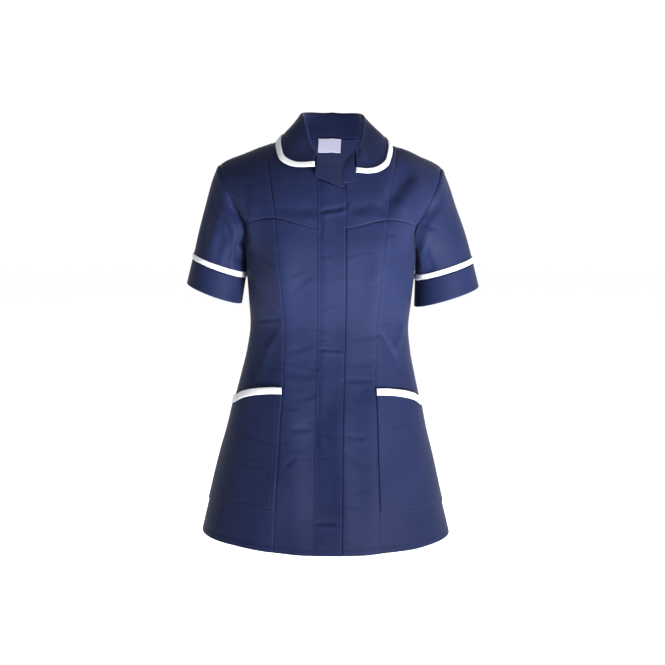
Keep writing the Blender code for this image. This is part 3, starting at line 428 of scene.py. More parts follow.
def makeSheet(name, points, normals, material, slot, node, wall, cut, closed=False, uv=None):
    u, v = lengthsOf(points) if uv is None else uv
    mesh = gridMesh(name, points, u, v, closed)
    row, place = len(points) // 4, points.shape[1] // 2
    middle = Vector(points[row, place])
    nearest = min(mesh.polygons, key=lambda face: (face.center - middle).length_squared)
    if nearest.normal @ Vector(normals[row, place]) < 0:
        mesh.flip_normals()
    piece = addObject(name, mesh, material)
    solid = piece.modifiers.new("wall", "SOLIDIFY")
    solid.thickness = wall
    solid.offset = -1.0
    solid.use_even_offset = False
    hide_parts(node)
    madeSheets[name] = {"points": points, "normals": normals, "u": u, "v": v}


def clothSheet(name, points, normals, node, cut, **more):
    makeSheet(name, points, normals, navy, "navy_cloth", node, body["wall"], cut, **more)


braidCrown = 0.0005


def braidSheet(name, points, normals, node, trim, **more):
    makeSheet(name, points, normals, white, "white_braid", node, trim["trimWall"], trim["trimCut"], **more)


def pickLine(grid, lengths, at):  # one point on each line of a grid, at a distance along it
    return np.array([[np.interp(a, run, line[:, k]) for k in range(3)] for a, run, line in zip(at, lengths, grid)])


# materials

finishes = {
    "navyCloth": {"deep": (0.0056, 0.0104, 0.0440, 1), "worn": (0.0086, 0.0158, 0.0640, 1), "thread": 0.00055,
                  "slant": 0.6, "bump": 0.5, "height": 0.00010, "rough": (0.60, 0.75), "specular": 0.15, "sheen": 0.03},
    "whiteBraid": {"deep": (0.86, 0.86, 0.90, 1), "worn": (0.93, 0.93, 0.96, 1), "thread": 0.0011, "slant": 0.25,
                   "bump": 0.6, "height": 0.00022, "rough": (0.62, 0.78), "specular": 0.25, "sheen": 0.04},
    "labelSatin": {"deep": (0.42, 0.41, 0.54, 1), "worn": (0.50, 0.49, 0.63, 1), "thread": 0.00040, "slant": 1.0,
                   "bump": 0.25, "height": 0.00006, "rough": (0.38, 0.46), "specular": 0.35, "sheen": 0.0},
    "zipTape": {"deep": (0.010, 0.013, 0.042, 1), "worn": (0.018, 0.022, 0.065, 1), "thread": 0.0014, "slant": 0.0,
                "bump": 0.8, "height": 0.00030, "rough": (0.45, 0.6), "specular": 0.35, "sheen": 0.0},
    "navyThread": {"deep": (0.011, 0.019, 0.072, 1), "worn": (0.017, 0.028, 0.100, 1), "thread": 0.0004, "slant": 1.0,
                   "bump": 0.3, "height": 0.00005, "rough": (0.42, 0.5), "specular": 0.35, "sheen": 0.0},
    "whiteThread": {"deep": (0.74, 0.74, 0.78, 1), "worn": (0.84, 0.84, 0.88, 1), "thread": 0.0004, "slant": 1.0,
                    "bump": 0.3, "height": 0.00005, "rough": (0.42, 0.5), "specular": 0.35, "sheen": 0.0},
}


def newGroup(name, inputs, outputs):
    group = bpy.data.node_groups.new(name, "ShaderNodeTree")
    for title, kind in inputs:
        group.interface.new_socket(name=title, in_out="INPUT", socket_type=kind)
    for title, kind in outputs:
        group.interface.new_socket(name=title, in_out="OUTPUT", socket_type=kind)
    return group, group.nodes.new("NodeGroupInput"), group.nodes.new("NodeGroupOutput")


def math2(tree, operation, a, b=0.0):
    node = tree.nodes.new("ShaderNodeMath")
    node.operation = operation
    for k, value in enumerate((a, b)):
        if isinstance(value, (int, float)):
            node.inputs[k].default_value = value
        else:
            tree.links.new(value, node.inputs[k])
    return node.outputs[0]


def times(tree, value, factor):
    return math2(tree, "MULTIPLY", value, factor)


def wire(tree, node, values=(), links=()):  # by the names or numbers of its inputs
    for key, value in dict(values).items():
        node.inputs[key].default_value = value
    for key, socket in dict(links).items():
        tree.links.new(socket, node.inputs[key])
    return node


def addNode(tree, kind, values=(), links=()):
    return wire(tree, tree.nodes.new("ShaderNode" + kind), values, links)


def weaveGroup():  # threads over and under, from the piece's flat cut in metres
    group, start, end = newGroup(
        "clothWeave", (("Cut", "NodeSocketVector"), ("Thread", "NodeSocketFloat"), ("Slant", "NodeSocketFloat")),
        (("Height", "NodeSocketFloat"), ("Slub", "NodeSocketFloat")))
    split = addNode(group, "SeparateXYZ", links={0: start.outputs["Cut"]})
    turns = math2(group, "DIVIDE", 6.2832, start.outputs["Thread"])
    across, along = (times(group, split.outputs[k], turns) for k in (0, 1))
    plain = times(group, math2(group, "SINE", across), math2(group, "SINE", along))
    twill = math2(group, "SINE", math2(group, "ADD", across, along))
    mix = addNode(group, "Mix", links={0: start.outputs["Slant"], 2: plain, 3: twill})
    group.links.new(math2(group, "ADD", times(group, mix.outputs[0], 0.5), 0.5), end.inputs["Height"])
    slubs = []
    for size in ((620, 34, 1), (30, 480, 1)):  # thick places along the warp, then along the weft
        stretch = addNode(group, "Mapping", {"Scale": size}, {"Vector": start.outputs["Cut"]})
        slub = addNode(group, "TexNoise", {"Scale": 1.0, "Detail": 3.0}, {"Vector": stretch.outputs[0]})
        slubs.append(slub.outputs[0])
    group.links.new(times(group, math2(group, "ADD", *slubs), 0.5), end.inputs["Slub"])
    return group


def wearGroup():  # soft patches where dye and handling have left the cloth uneven
    group, start, end = newGroup("softWear", (("Place", "NodeSocketVector"),), (("Patch", "NodeSocketFloat"),))
    place = {"Vector": start.outputs["Place"]}
    large, small = (addNode(group, "TexNoise", {"Scale": scale, "Detail": detail}, place).outputs[0]
                    for scale, detail in ((9.0, 3.0), (70.0, 2.0)))
    group.links.new(math2(group, "ADD", times(group, large, 0.65), times(group, small, 0.35)), end.inputs["Patch"])
    return group


weave, wear = weaveGroup(), wearGroup()


def clothMaterial(name, finish):
    material = bpy.data.materials.new(name)
    material.use_nodes = True
    tree = material.node_tree
    shader = tree.nodes["Principled BSDF"]
    cut, place, threads, patches = (addNode(tree, kind) for kind in ("UVMap", "TexCoord", "Group", "Group"))
    cut.uv_map = "cut"
    threads.node_tree, patches.node_tree = weave, wear
    wire(tree, threads, {"Thread": finish["thread"], "Slant": finish["slant"]}, {"Cut": cut.outputs[0]})
    wire(tree, patches, links={"Place": place.outputs["Object"]})
    height, slub = threads.outputs["Height"], threads.outputs["Slub"]
    tone = math2(tree, "ADD", times(tree, patches.outputs[0], 0.6), times(tree, slub, 0.9))
    tone = math2(tree, "ADD", tone, times(tree, height, 0.12))
    level = addNode(tree, "MapRange", {"From Min": 0.63, "From Max": 0.99}, {0: tone})
    colour = addNode(tree, "Mix")
    colour.data_type = "RGBA"
    wire(tree, colour, {6: finish["deep"], 7: finish["worn"]}, {0: level.outputs[0]})
    rough = addNode(tree, "MapRange", {"To Min": finish["rough"][0], "To Max": finish["rough"][1]}, {0: slub})
    relief = math2(tree, "ADD", height, times(tree, slub, 1.5))
    bump = addNode(tree, "Bump", {"Strength": finish["bump"], "Distance": finish["height"]}, {"Height": relief})
    wire(tree, shader, {"Specular IOR Level": finish["specular"], "Sheen Weight": finish["sheen"]},
         {"Base Color": colour.outputs[2], "Roughness": rough.outputs[0], "Normal": bump.outputs[0]})
    return material


navy, white, labelWhite, zipNavy, navyThread, whiteThread = (clothMaterial(*row) for row in finishes.items())
print("materials made")

# panels

fronts = {
    "princess": ((0.060, 0.1180), (0.012, 0.1121), (-0.054, 0.1009), (-0.095, 0.0953), (-0.164, 0.0876),
                 (-0.220, 0.0818), (-0.255, 0.0791), (-0.293, 0.0774), (-0.336, 0.0772), (-0.386, 0.0777),
                 (-0.440, 0.0809), (-0.508, 0.0841), (-0.575, 0.0875), (-0.644, 0.0918), (-0.700, 0.0950)),
    "armhole": ((0.010, 0.1960), (-0.0170, 0.1915), (-0.0475, 0.1815), (-0.0790, 0.1665), (-0.1000, 0.1545)),
    "bustSeam": ((0.000, -0.1170), (0.024, -0.1160), (0.050, -0.1110), (0.080, -0.1035), (0.100, -0.1012),
                 (0.125, -0.1055), (0.150, -0.1155), (0.190, -0.1350)),
    "closingX": 0.0235,
    "spacing": 0.0030,
    "seamDepth": 0.0007,
    "sinkDepth": 0.0125,
    "sinkWidth": 0.0070,
    "sinkZ": (-0.176, -0.056),
    "sinkFade": (0.034, 0.040),
    "closingDepth": 0.0020,
    "princessDeeper": 0.8,
    "tuck": 0.0009,
    "seamWidth": 0.0016,
    "hemHeight": 0.0120,
    "cuts": {  # width, length and area of the flat cloth that shows
        "frontCentreLeft": (0.121, 0.581, 0.0621), "frontCentreRight": (0.0744, 0.581, 0.0355),
        "frontSideLeft": (0.205, 0.618, 0.0829), "frontSideRight": (0.205, 0.618, 0.0829),
        "yokeCentreLeft": (0.161, 0.205, 0.0184), "yokeCentreRight": (0.133, 0.200, 0.0139),
        "yokeSideLeft": (0.0864, 0.173, 0.0125), "yokeSideRight": (0.0864, 0.173, 0.0125),
    },
}
princessX, armholeX, bustZ = (curveThrough(fronts[key]) for key in ("princess", "armhole", "bustSeam"))

lapels = {  # fold line's top and foot, its bow, the tip and the top of the outer edge
    -1: {"topX": -0.0215, "footX": 0.0232, "footZ": -0.0515, "bow": 0.0030, "tip": (-0.0280, -0.0315), "edgeX": -0.0238,
         "cut": (0.0323, 0.0901, 0.00101)},
    1: {"topX": 0.0355, "footX": 0.0240, "footZ": -0.0440, "bow": 0.0105, "tip": (0.0445, -0.0365), "edgeX": 0.0365,
        "cut": (0.0237, 0.0693, 0.00100)},
    "lift": 0.0040,
    "hollow": 0.45,
}


def princessAngle(z):
    return angleAt(princessX(z), z)


def neckZ(x, front):
    share = np.minimum(np.abs(x) / body["neckHalfWidth"], 1.0)
    depth = np.where(front, -body["neckFront"], body["neckBack"])
    return heightOver(x, depth * np.sqrt(1 - share * share))


def topZ(x, front):  # the neckline, and the shoulders beside it
    return np.where(np.abs(x) < body["neckHalfWidth"], neckZ(x, front), shoulderZ(x))


for side in (-1, 1):
    lapels[side]["topZ"] = float(neckZ(np.array(lapels[side]["topX"]), True))


def foldLine(side):
    lapel = lapels[side]
    rise = lapel["topZ"] - lapel["footZ"]

    def line(z):
        share = np.clip((z - lapel["footZ"]) / rise, 0.0, 1.0)
        return lapel["footX"] + (lapel["topX"] - lapel["footX"]) * share - lapel["bow"] * 4 * share * (1 - share)

    return line


def seamAngle(z, front):  # the side seam, or the armhole above it
    z = np.asarray(z, float)
    reach, power = reachOf(z, front), squareness(z)
    above = angleAt(armholeX(z), z)
    wideZ = body["armholeWidestZ"]
    widest = angleAt(armholeX(wideZ), wideZ)
    widestDepth = reachOf(wideZ, front) * np.cos(widest) ** (2 / squareness(wideZ))
    share = np.clip((z - body["underarmZ"]) / (wideZ - body["underarmZ"]), 0.0, 1.0)
    depth = widestDepth * (1 - (1 - share) ** 2.2) ** (1 / 2.2)
    between = np.arccos(np.minimum(depth / reach, 1.0) ** (power / 2))
    return np.where(z <= body["underarmZ"], math.pi / 2, np.where(z >= wideZ, above, between))


def levelPlaces(levels, left, right, across, front):
    across, z = np.meshgrid(across, levels)
    angle = left(z) + (right(z) - left(z)) * across
    x = xAt(angle, z)
    return angle, climbAt(x, z, front)


def risingPlaces(foot, head, left, right, across, up, front):
    across, up = np.meshgrid(across, up)
    z = foot(0.1) + (0.01 - foot(0.1)) * up
    for _ in range(24):
        angle = left(z) + (right(z) - left(z)) * across
        x = xAt(angle, z)
        low, high = climbAt(x, foot(x), front), climbAt(x, head(x), front)
        climb = low + (high - low) * up
        z = (z + bodyPoint(angle, climb, front)[..., 2]) / 2
    return angle, climb


def joined(low, high):
    return [np.concatenate((a, b[1:])) for a, b in zip(low, high)]


def evenShares(length, spacing):  # even steps, closer together beside both edges
    count = max(int(round(length / spacing)), 2)
    made = set(np.linspace(0, 1, count + 1))
    for extra in (0.0007, 0.0016):
        made |= {extra / length, 1 - extra / length}
    return np.array(sorted(made))


def skirtLevels(spacing):  # from the hem to where the rows stop being level
    tall = body["levelTopZ"] - body["hemZ"]
    levels = body["hemZ"] + tall * evenShares(tall, spacing)[:-2]
    return np.append(levels[levels < body["levelTopZ"] - 0.001], body["levelTopZ"])


def neckShares(firstX, left, right, front, before, after):
    start = math.asin(min(abs(firstX) / body["neckHalfWidth"], 1.0))
    x = body["neckHalfWidth"] * np.sin(start + (math.pi / 2 - start) * np.linspace(0, 1, before + 1))
    z = neckZ(x, front)
    made = (angleAt(x, z) - left(z)) / (right(z) - left(z))
    made[0] = 0.0
    return np.concatenate((made[:-1], made[-1] + (1 - made[-1]) * np.linspace(0, 1, after + 1)))


def seamDip(distance):
    return -fronts["seamDepth"] * np.exp(-((distance / fronts["seamWidth"]) ** 2))


def armholeSink(points, away, towards, width):  # same shift on both sides of the seam
    z = points[..., 2]
    gate = gateOf(z, fronts["sinkZ"], fronts["sinkFade"])
    depth = fronts["sinkDepth"] * gate * np.exp(-((away / width) ** 2))
    return points + vec(0, towards * depth, 0)


def pucker(away, along, seed, height=0.00022, reach=0.010, size=0.012):
    rng = np.random.default_rng(seed)
    wave = np.sin(6.283 * along / size + 1.3 * np.sin(along / 0.05 + rng.uniform(0, 6)) + rng.uniform(0, 6))
    return height * wave * np.exp(-((away / reach) ** 2)) * (0.6 + 0.4 * np.sin(along / 0.03 + seed))


def makePanel(name, node, angle, climb, side, front, seams, cut, extra=None):
    angle = side * angle
    base, normal = bodyPoint(angle, climb, front), bodyNormal(angle, climb, front)
    u, v = lengthsOf(base)
    x, z = base[..., 0], base[..., 2]
    lift = creaseRelief(x, z, "front" if front else "back") * ease((math.pi / 2 - np.abs(angle)) / 0.25)
    distances = {"left": (u, v), "right": (u[:, -1:] - u, v), "foot": (v, u), "top": (v[-1:] - v, u)}
    for k, edge in enumerate(seams):
        away, along = distances[edge]
        deeper = 1.0
        if edge == "left" and name == "frontCentreRight":
            deeper += fronts["closingDepth"] / fronts["seamDepth"]
        if edge == "left" and "Side" in name:
            deeper += fronts["princessDeeper"]
        lift = lift + seamDip(away) * deeper + pucker(away, along, 31 + k + len(name))
    if extra is not None:
        lift = lift + extra(v)
    shaped = base + normal * lift[..., None]
    if "Side" in name or not front:
        shaped = armholeSink(shaped, distances["right"][0], 1 if front else -1, fronts["sinkWidth"])
    if not front:
        shaped = armholeSink(shaped, distances["left"][0], -1, fronts["sinkWidth"])
    clothSheet(name, hang(shaped), normal, node, cut, uv=(u, v))


def hemRelief(v):  # the groove of the turned hem
    edge = fronts["hemHeight"]
    return 0.0004 * ease((edge - v) / 0.002) - 0.0004 * np.exp(-(((v - edge) / 0.0012) ** 2))


def makeFront(side, name):
    line, lapel = foldLine(side), lapels[side]

    def closing(z):
        return angleAt(np.where(z > lapel["footZ"], side * line(z), side * fronts["closingX"]), z)

    def princessOuter(z):
        return angleAt(princessX(z) - fronts["tuck"], z)

    def outerEdge(z):
        return seamAngle(z, True)

    def bust(x):
        return bustZ(np.abs(x))

    def top(x):
        return topZ(np.maximum(x, side * lapel["topX"]), True)

    step = fronts["spacing"]
    levels = skirtLevels(step)
    neck = neckShares(side * lapel["topX"], closing, princessAngle, True, 26, 18)
    panels = (
        ("Centre", closing, princessAngle, evenShares(0.09, step), neck),
        ("Side", princessOuter, outerEdge, evenShares(0.10, step), evenShares(0.08, step)),
    )
    for part, left, right, lowColumns, highColumns in panels:
        low = levelPlaces(levels, left, right, lowColumns, True)
        seam = risingPlaces(levelTop, bust, left, right, lowColumns, np.array([0, 0.2, 0.4, 0.6, 0.8, 0.9, 1.0]), True)
        angle, climb = joined(low, seam)
        node, piece = f"{part.lower()}_{name.lower()}", part + name
        makePanel("front" + piece, "front_" + node, angle, climb, side, True, ("left", "right", "top"),
                  fronts["cuts"]["front" + piece], hemRelief)
        angle, climb = risingPlaces(bust, top, left, right, highColumns, evenShares(0.17, step), True)
        makePanel("yoke" + piece, "yoke_" + node, angle, climb, side, True, ("left", "right", "foot", "top"),
                  fronts["cuts"]["yoke" + piece])


for side, name in sides:
    makeFront(side, name)
print("fronts made")


backPanel = {"spacing": 0.0034, "cut": (0.592, 0.784, 0.3186)}


def makeBack():
    def right(z):
        return seamAngle(z, False)

    def left(z):
        return -right(z)

    def middle(z):
        return 0 * z

    def top(x):
        return topZ(x, False)

    half = neckShares(0.0, middle, right, False, 26, 40)
    columns = np.concatenate((0.5 - half[::-1] / 2, 0.5 + half[1:] / 2))
    low = levelPlaces(skirtLevels(backPanel["spacing"]), left, right, columns, False)
    high = risingPlaces(levelTop, top, left, right, columns, evenShares(0.20, backPanel["spacing"]), False)
    angle, climb = joined(low, high)
    makePanel("back", "back", angle, climb, 1, False, ("left", "right", "top"), backPanel["cut"], hemRelief)


makeBack()
print("back made")

# covered closing

placket = {
    "leftX": -0.0225,
    "overhang": 0.0010,
    "topLeftZ": -0.0362,
    "topRightZ": -0.0535,
    "lift": 0.0019,
    "freeEdge": 0.0012,
    "footZ": -0.612,
    "footFade": 0.006,
    "cut": (0.0519, 0.649, 0.0307),
}


def onFront(x, z, lift):
    lift = lift + creaseRelief(x, z, "front") * ease((math.pi / 2 - np.abs(angleAt(x, z))) / 0.25)
    points, normals = onBody(x, z, True, lift)
    return hang(points), normals


def makePlacket():
    rightX = fronts["closingX"] + placket["overhang"]
    wide = rightX - placket["leftX"]
    across, up = np.meshgrid(evenShares(wide, 0.0026), evenShares(0.62, 0.0028))
    x = placket["leftX"] + wide * across
    topZ = placket["topLeftZ"] + (placket["topRightZ"] - placket["topLeftZ"]) * across
    z = body["hemZ"] + (topZ - body["hemZ"]) * up
    sunk = placket["lift"] * ease((x - placket["leftX"] + 0.002) / 0.016)
    foot = 0.45 + 0.55 * ease((z - placket["footZ"]) / placket["footFade"])  # flatter below its turned foot
    wave = 0.6 + 0.4 * np.sin(z / 0.031)
    lift = 0.00015 + sunk * foot + placket["freeEdge"] * ease((across - 0.6) / 0.4) * wave
    lift = lift + hemRelief(z - body["hemZ"])
    points, normals = onFront(x, z, lift)
    clothSheet("placket", points, normals, "placket", placket["cut"])


makePlacket()

zipTape = {"halfWidth": 0.015, "topZ": -0.060, "bottomZ": -0.600, "inside": -0.0023, "wall": 0.0010,
           "cut": (0.0303, 0.552, 0.0165)}


def makeZip():
    across, up = np.meshgrid(np.linspace(-1, 1, 9), np.linspace(0, 1, 150))
    x = fronts["closingX"] + zipTape["halfWidth"] * across
    z = zipTape["bottomZ"] + (zipTape["topZ"] - zipTape["bottomZ"]) * up
    points, normals = onFront(x, z, zipTape["inside"])
    makeSheet("zip", points, normals, zipNavy, "zip_tape", "zip", zipTape["wall"], zipTape["cut"])


makeZip()


def makeLapel(side, name):
    lapel, line = lapels[side], foldLine(side)
    footZ, topZ = lapel["footZ"], lapel["topZ"]
    tipX, tipZ = lapel["tip"]
    across, up = np.meshgrid(np.linspace(0, 1, 22), np.linspace(0.06, 1.0, 40))
    zFold = footZ + (topZ - footZ) * up
    xFold = line(zFold)
    tipShare = (tipZ - footZ) / (topZ - footZ)
    low, high = np.clip(up / tipShare, 0, 1), np.clip((up - tipShare) / (1 - tipShare), 0, 1)
    xEdge = np.where(up < tipShare, lapel["footX"] + (tipX - lapel["footX"]) * low,
                     tipX + (lapel["edgeX"] - tipX) * high ** lapels["hollow"])
    zEdge = np.where(up < tipShare, footZ + (tipZ - footZ) * low, tipZ + (topZ - tipZ) * high)
    x = xFold + (xEdge - xFold) * across
    z = np.minimum(zFold + (zEdge - zFold) * across, neckZ(x, True) - 0.0004)
    rise = lapels["lift"] * np.sin(math.pi / 2 * np.minimum(np.abs(x - xFold) / 0.03, 1.0))
    rise = rise * (0.5 + 1.1 * up)
    points, normals = onBody(x, z, True, 0.0017 + rise)
    clothSheet(f"lapel{name}", hang(points), normals, f"lapel_{name.lower()}", lapel["cut"])


for side, name in sides:
    makeLapel(side, name)
print("closing and lapels made")

# pockets

pockets = {
    "topEdge": ((0.060, -0.3900), (0.090, -0.3908), (0.120, -0.3955), (0.145, -0.4055),
                (0.160, -0.4190), (0.175, -0.4310)),
    "bottomZ": -0.606,
    "bottomSlope": 0.09,
    "trimWidth": 0.0114,
    "gape": 0.0025,
    "lift": 0.0019,
    "trimWall": 0.0010,
    "cut": (0.193, 0.2136, 0.0344),
    "trimCut": (0.1536, 0.0143, 0.00187),
}
pocketTopZ = curveThrough(pockets["topEdge"])


def pocketPlaces(side, up, across):
    across, up = np.meshgrid(0.005 + 0.989 * across, up)
    z = -0.5 + 0 * up
    for _ in range(30):
        left, right = princessAngle(z), seamAngle(z, True)
        x = xAt(left + (right - left) * across, z)
        bottom = pockets["bottomZ"] - pockets["bottomSlope"] * (x - 0.15)
        z = bottom + (pocketTopZ(x) - bottom) * up
    gape = pockets["gape"] * np.sin(math.pi * across) ** 2 * up**4
    return side * x, z, gape


def makePocket(side, name):
    x, z, gape = pocketPlaces(side, evenShares(0.21, 0.0030), evenShares(0.13, 0.0032))
    points, normals = onFront(x, z, pockets["lift"] + gape)
    clothSheet(f"pocket{name}", points, normals, f"pocket_{name.lower()}", pockets["cut"])
    first = 1 - pockets["trimWidth"] / 0.205
    x, z, gape = pocketPlaces(side, np.linspace(first, 1, 7), evenShares(0.13, 0.0022))
    crown = braidCrown * np.sin(np.linspace(0, math.pi, 7))[:, None]
    points, normals = onFront(x, z, pockets["lift"] + 0.0013 + gape + crown)
    braidSheet(f"pocketTrim{name}", points, normals, f"pocket_trim_{name.lower()}", pockets)


for side, name in sides:
    makePocket(side, name)
print("pockets made")

# collar

collar = {
    "rows": (  # share of the way round, then in mm: fold in and up, its radius, outer edge from above, belly
        (0.00, -4, 45.5, 3.4, 0, 82, 1), (0.16, -3, 45.2, 3.4, 43, 76, 1),
        (0.33, 2, 44, 3.4, 71.5, 57, 1.2), (0.46, 8, 42, 3.4, 86.5, 32, 1.2),
        (0.60, 13, 35, 3.2, 95, -1, 2), (0.73, 13.5, 24, 3, 98.5, -33, 2),
        (0.83, 10, 15.5, 2.8, 93, -61, 1.5), (0.91, 6, 9, 2.5, 74, -76.5, 1),
        (0.96, 2.8, 5.8, 2.2, 53, -82.5, 0.5), (1.00, 0, 4.2, 2, 34.2, -84.8, 0)),
    "lift": 0.0036,
    "endLeft": 155.0,
    "endRight": 141.0,
    "skew": 0.0070,
    "turn": 0.0018,
    "seamGap": 0.0009,
    "trimWidth": 0.0106,
    "trimGap": 0.0005,
    "trimWall": 0.0010,
    "cut": (0.579, 0.112, 0.0398),
    "trimCut": (0.586, 0.0107, 0.00580),
}
rollIn, rollUp, rollRadius, edgeX, edgeY, belly = (
    curveThrough([(row[0], row[k] / 1000) for row in collar["rows"]]) for k in range(1, 7))


def neckPoint(side, angle):
    turn = np.radians(angle)
    depth = np.where(angle < 90, body["neckBack"], body["neckFront"])
    x, y = side * body["neckHalfWidth"] * np.sin(turn), depth * np.cos(turn)
    return vec(x, y, heightOver(x, y))


def collarHalf(side, share):
    end = collar["endLeft"] if side < 0 else collar["endRight"]
    neck = neckPoint(side, share * end)
    ahead, behind = np.minimum(share * end + 2, 179.9), np.maximum(share * end - 2, 0.0)
    along = unit(neckPoint(side, ahead) - neckPoint(side, behind))
    front = share * end >= 90
    x, z = neck[:, 0], neck[:, 2]
    normal = bodyNormal(angleAt(x, z), climbAt(x, z, front), front)
    inward = unit(np.cross(along, normal))
    flat = neck * np.array((-1.0, -1.0, 0.0))
    inward = np.where((inward * flat).sum(-1, keepdims=True) < 0, -inward, inward)
    shift = collar["skew"] * share**2
    edge = overBody(side * edgeX(share) + shift, edgeY(share) - side * collar["turn"] * share**2, collar["lift"])
    outward = unit((edge - neck) * np.array((1.0, 1.0, 0.0)))
    up = np.array((0.0, 0.0, 1.0))
    radius = rollRadius(share)[:, None]
    centre = neck - outward * rollIn(share)[:, None] + up * (rollUp(share)[:, None] - radius)
    centre[:, 0] += shift * 0.5 * ease(share * 2) * (1 - ease(share * 2 - 1))
    wall = body["wall"]
    start = neck + inward * (collar["seamGap"] + wall / 2) - normal * wall / 2
    turnIn = centre - outward * radius
    lines = [start + (turnIn - start) * t for t in np.linspace(0, 1, 15)[:-1]]
    for turn in np.linspace(0, math.pi, 11):
        lines.append(centre - outward * radius * math.cos(turn) + up * radius * math.sin(turn))
    leave = lines[-1]
    fall = unit(edge - leave)
    bulge = unit(outward - fall * (outward * fall).sum(-1, keepdims=True))
    for t in np.linspace(0, 1, 23)[1:]:
        point = leave + (edge - leave) * t + bulge * (belly(share) * math.sin(math.pi * t))[:, None]
        x, y = point[:, 0], point[:, 1]
        floor = overBody(x, y, collar["lift"])
        inside = (x / body["neckHalfWidth"]) ** 2 + (y / 0.07) ** 2 < 1.0
        higher = (floor[:, 2] > point[:, 2]) & ~inside
        lines.append(np.where(higher[:, None], floor, point))
    return np.array(lines)


def makeCollar():
    share = np.linspace(0, 1, 101)
    left, right = collarHalf(-1, share[::-1]), collarHalf(1, share[1:])
    grid = np.concatenate((left, right), axis=1)
    for _ in range(6):  # softens where the stand meets the roll
        grid[1:-1] = grid[1:-1] * 0.5 + (grid[:-2] + grid[2:]) * 0.25
    grid = hang(grid)
    normals = gridNormals(grid)
    middle = grid.shape[1] // 2
    if normals[-1, middle, 1] < 0:  # at the centre back, the leaf faces backwards
        normals = -normals
    leaf = grid + normals * body["wall"] / 2
    clothSheet("collar", leaf, normals, "collar", collar["cut"])
    reach, rows = collar["trimWidth"], []
    inward, inwardNormals = leaf[::-1].swapaxes(0, 1), normals[::-1].swapaxes(0, 1)  # in from the outer edge
    for distance in np.linspace(reach, -0.0003, 7):
        crown = braidCrown * math.sin(math.pi * min(max(distance / reach, 0.0), 1.0))
        rise = collar["trimGap"] + collar["trimWall"] + crown
        rows.append(pickLine(inward + inwardNormals * rise, lengthsOf(inward)[0], [distance] * len(inward)))
    braidSheet("collarTrim", np.array(rows), normals[-7:], "collar_trim", collar)


makeCollar()

label = {"leftX": -0.0245, "rightX": 0.0155, "height": 0.025, "inset": 0.0030, "lean": 0.05, "wall": 0.0007,
         "cut": (0.0408, 0.0251, 0.00102)}


def makeLabel():
    across, up = np.meshgrid(np.linspace(0, 1, 25), np.linspace(1, 0, 17))
    x = label["leftX"] + (label["rightX"] - label["leftX"]) * across
    drop = label["height"] * up
    neckY = body["neckBack"] * np.sqrt(1 - (x / body["neckHalfWidth"]) ** 2)
    y = neckY - label["inset"] + label["lean"] * drop - 0.0010
    points = hang(vec(x, y, heightOver(x, neckY) - drop))
    normals = np.zeros(points.shape) + np.array((0.0, -1.0, 0.0))
    makeSheet("label", points, normals, labelWhite, "label_white", "label", label["wall"], label["cut"])


makeLabel()
print("collar and label made")

# sleeves

sleeves = {
    -1: {"hem": (0.2040, -0.2415), "half": 0.0512, "depth": 0.0600, "tilt": 19.2, "lean": 10.3, "flare": 0.0019,
         "puff": 0.26, "sinkWidth": 0.0060, "fold": 0.0120},
    1: {"hem": (0.2060, -0.2418), "half": 0.0590, "depth": 0.0575, "tilt": 18.2, "lean": 7.6, "flare": 0.0060,
        "puff": 0.10, "sinkWidth": 0.0170, "fold": 0.0},
    "cuffHeight": 0.0445,
    "trimHeight": 0.0125,
    "centreY": 0.008,
    "pull": 0.9,
    "armholeGap": 0.0006,
    "seamGap": 0.0003,
    "trimWall": 0.0010,
    "cuffWall": 0.0007,
    "turnUnder": 0.020,
    "nearBody": 0.0027,
    "foldReach": 0.0210,
    "foldWidth": 0.0100,
    "foldZ": (-0.200, -0.060),
    "foldFade": (0.040, 0.040),
    "trimShare": (0.12, 0.79),
    "cut": (0.486, 0.175, 0.0415),  # all round the tube
    "cuffCut": (0.361, 0.0667, 0.0229),
    "trimCut": (0.354, 0.0109, 0.00336),
    "creases": {  # rows as above, the same on the back
        -1: ((-192, -96, -172, -130, 3.5, 2.2, 0.8, 1), (-198, -60, -224, -160, 9, 2, -0.6, 2),
            (-186, -120, -204, -190, 7, 1.4, 0.6, -1), (-170, -150, -186, -195, 6, 2, -0.5, 1)),
        1: ((150, -110, 176, -120, 3.5, 1.6, 0.7, 1), (172, -70, 188, -140, 10, 1.4, 0.6, 2),
            (205, -60, 222, -180, 11, 1.2, -0.6, 1), (160, -150, 172, -195, 6, 1.8, 0.5, 1)),
    },
}


def armholeEdge(side, front):  # from the underarm up to the shoulder
    def edge(z):
        return seamAngle(z, front)

    levels = body["underarmZ"] + (body["levelTopZ"] - body["underarmZ"]) * np.linspace(0, 1, 40) ** 2
    low = levelPlaces(levels, edge, edge, np.array([1.0]), front)
    high = risingPlaces(levelTop, shoulderZ, edge, edge, np.array([1.0]), np.linspace(0, 1, 80), front)
    angle, climb = (grid[:, 0] for grid in joined(low, high))
    rough = bodyPoint(angle, climb, front)
    run = runAlong(rough)
    even = np.linspace(0, run[-1], 64)
    angle, climb = np.interp(even, run, angle), np.interp(even, run, climb)
    point = bodyPoint(side * angle, climb, front)
    inner = bodyPoint(side * (angle - 0.02), climb, front)
    return point, bodyNormal(side * angle, climb, front), point - inner


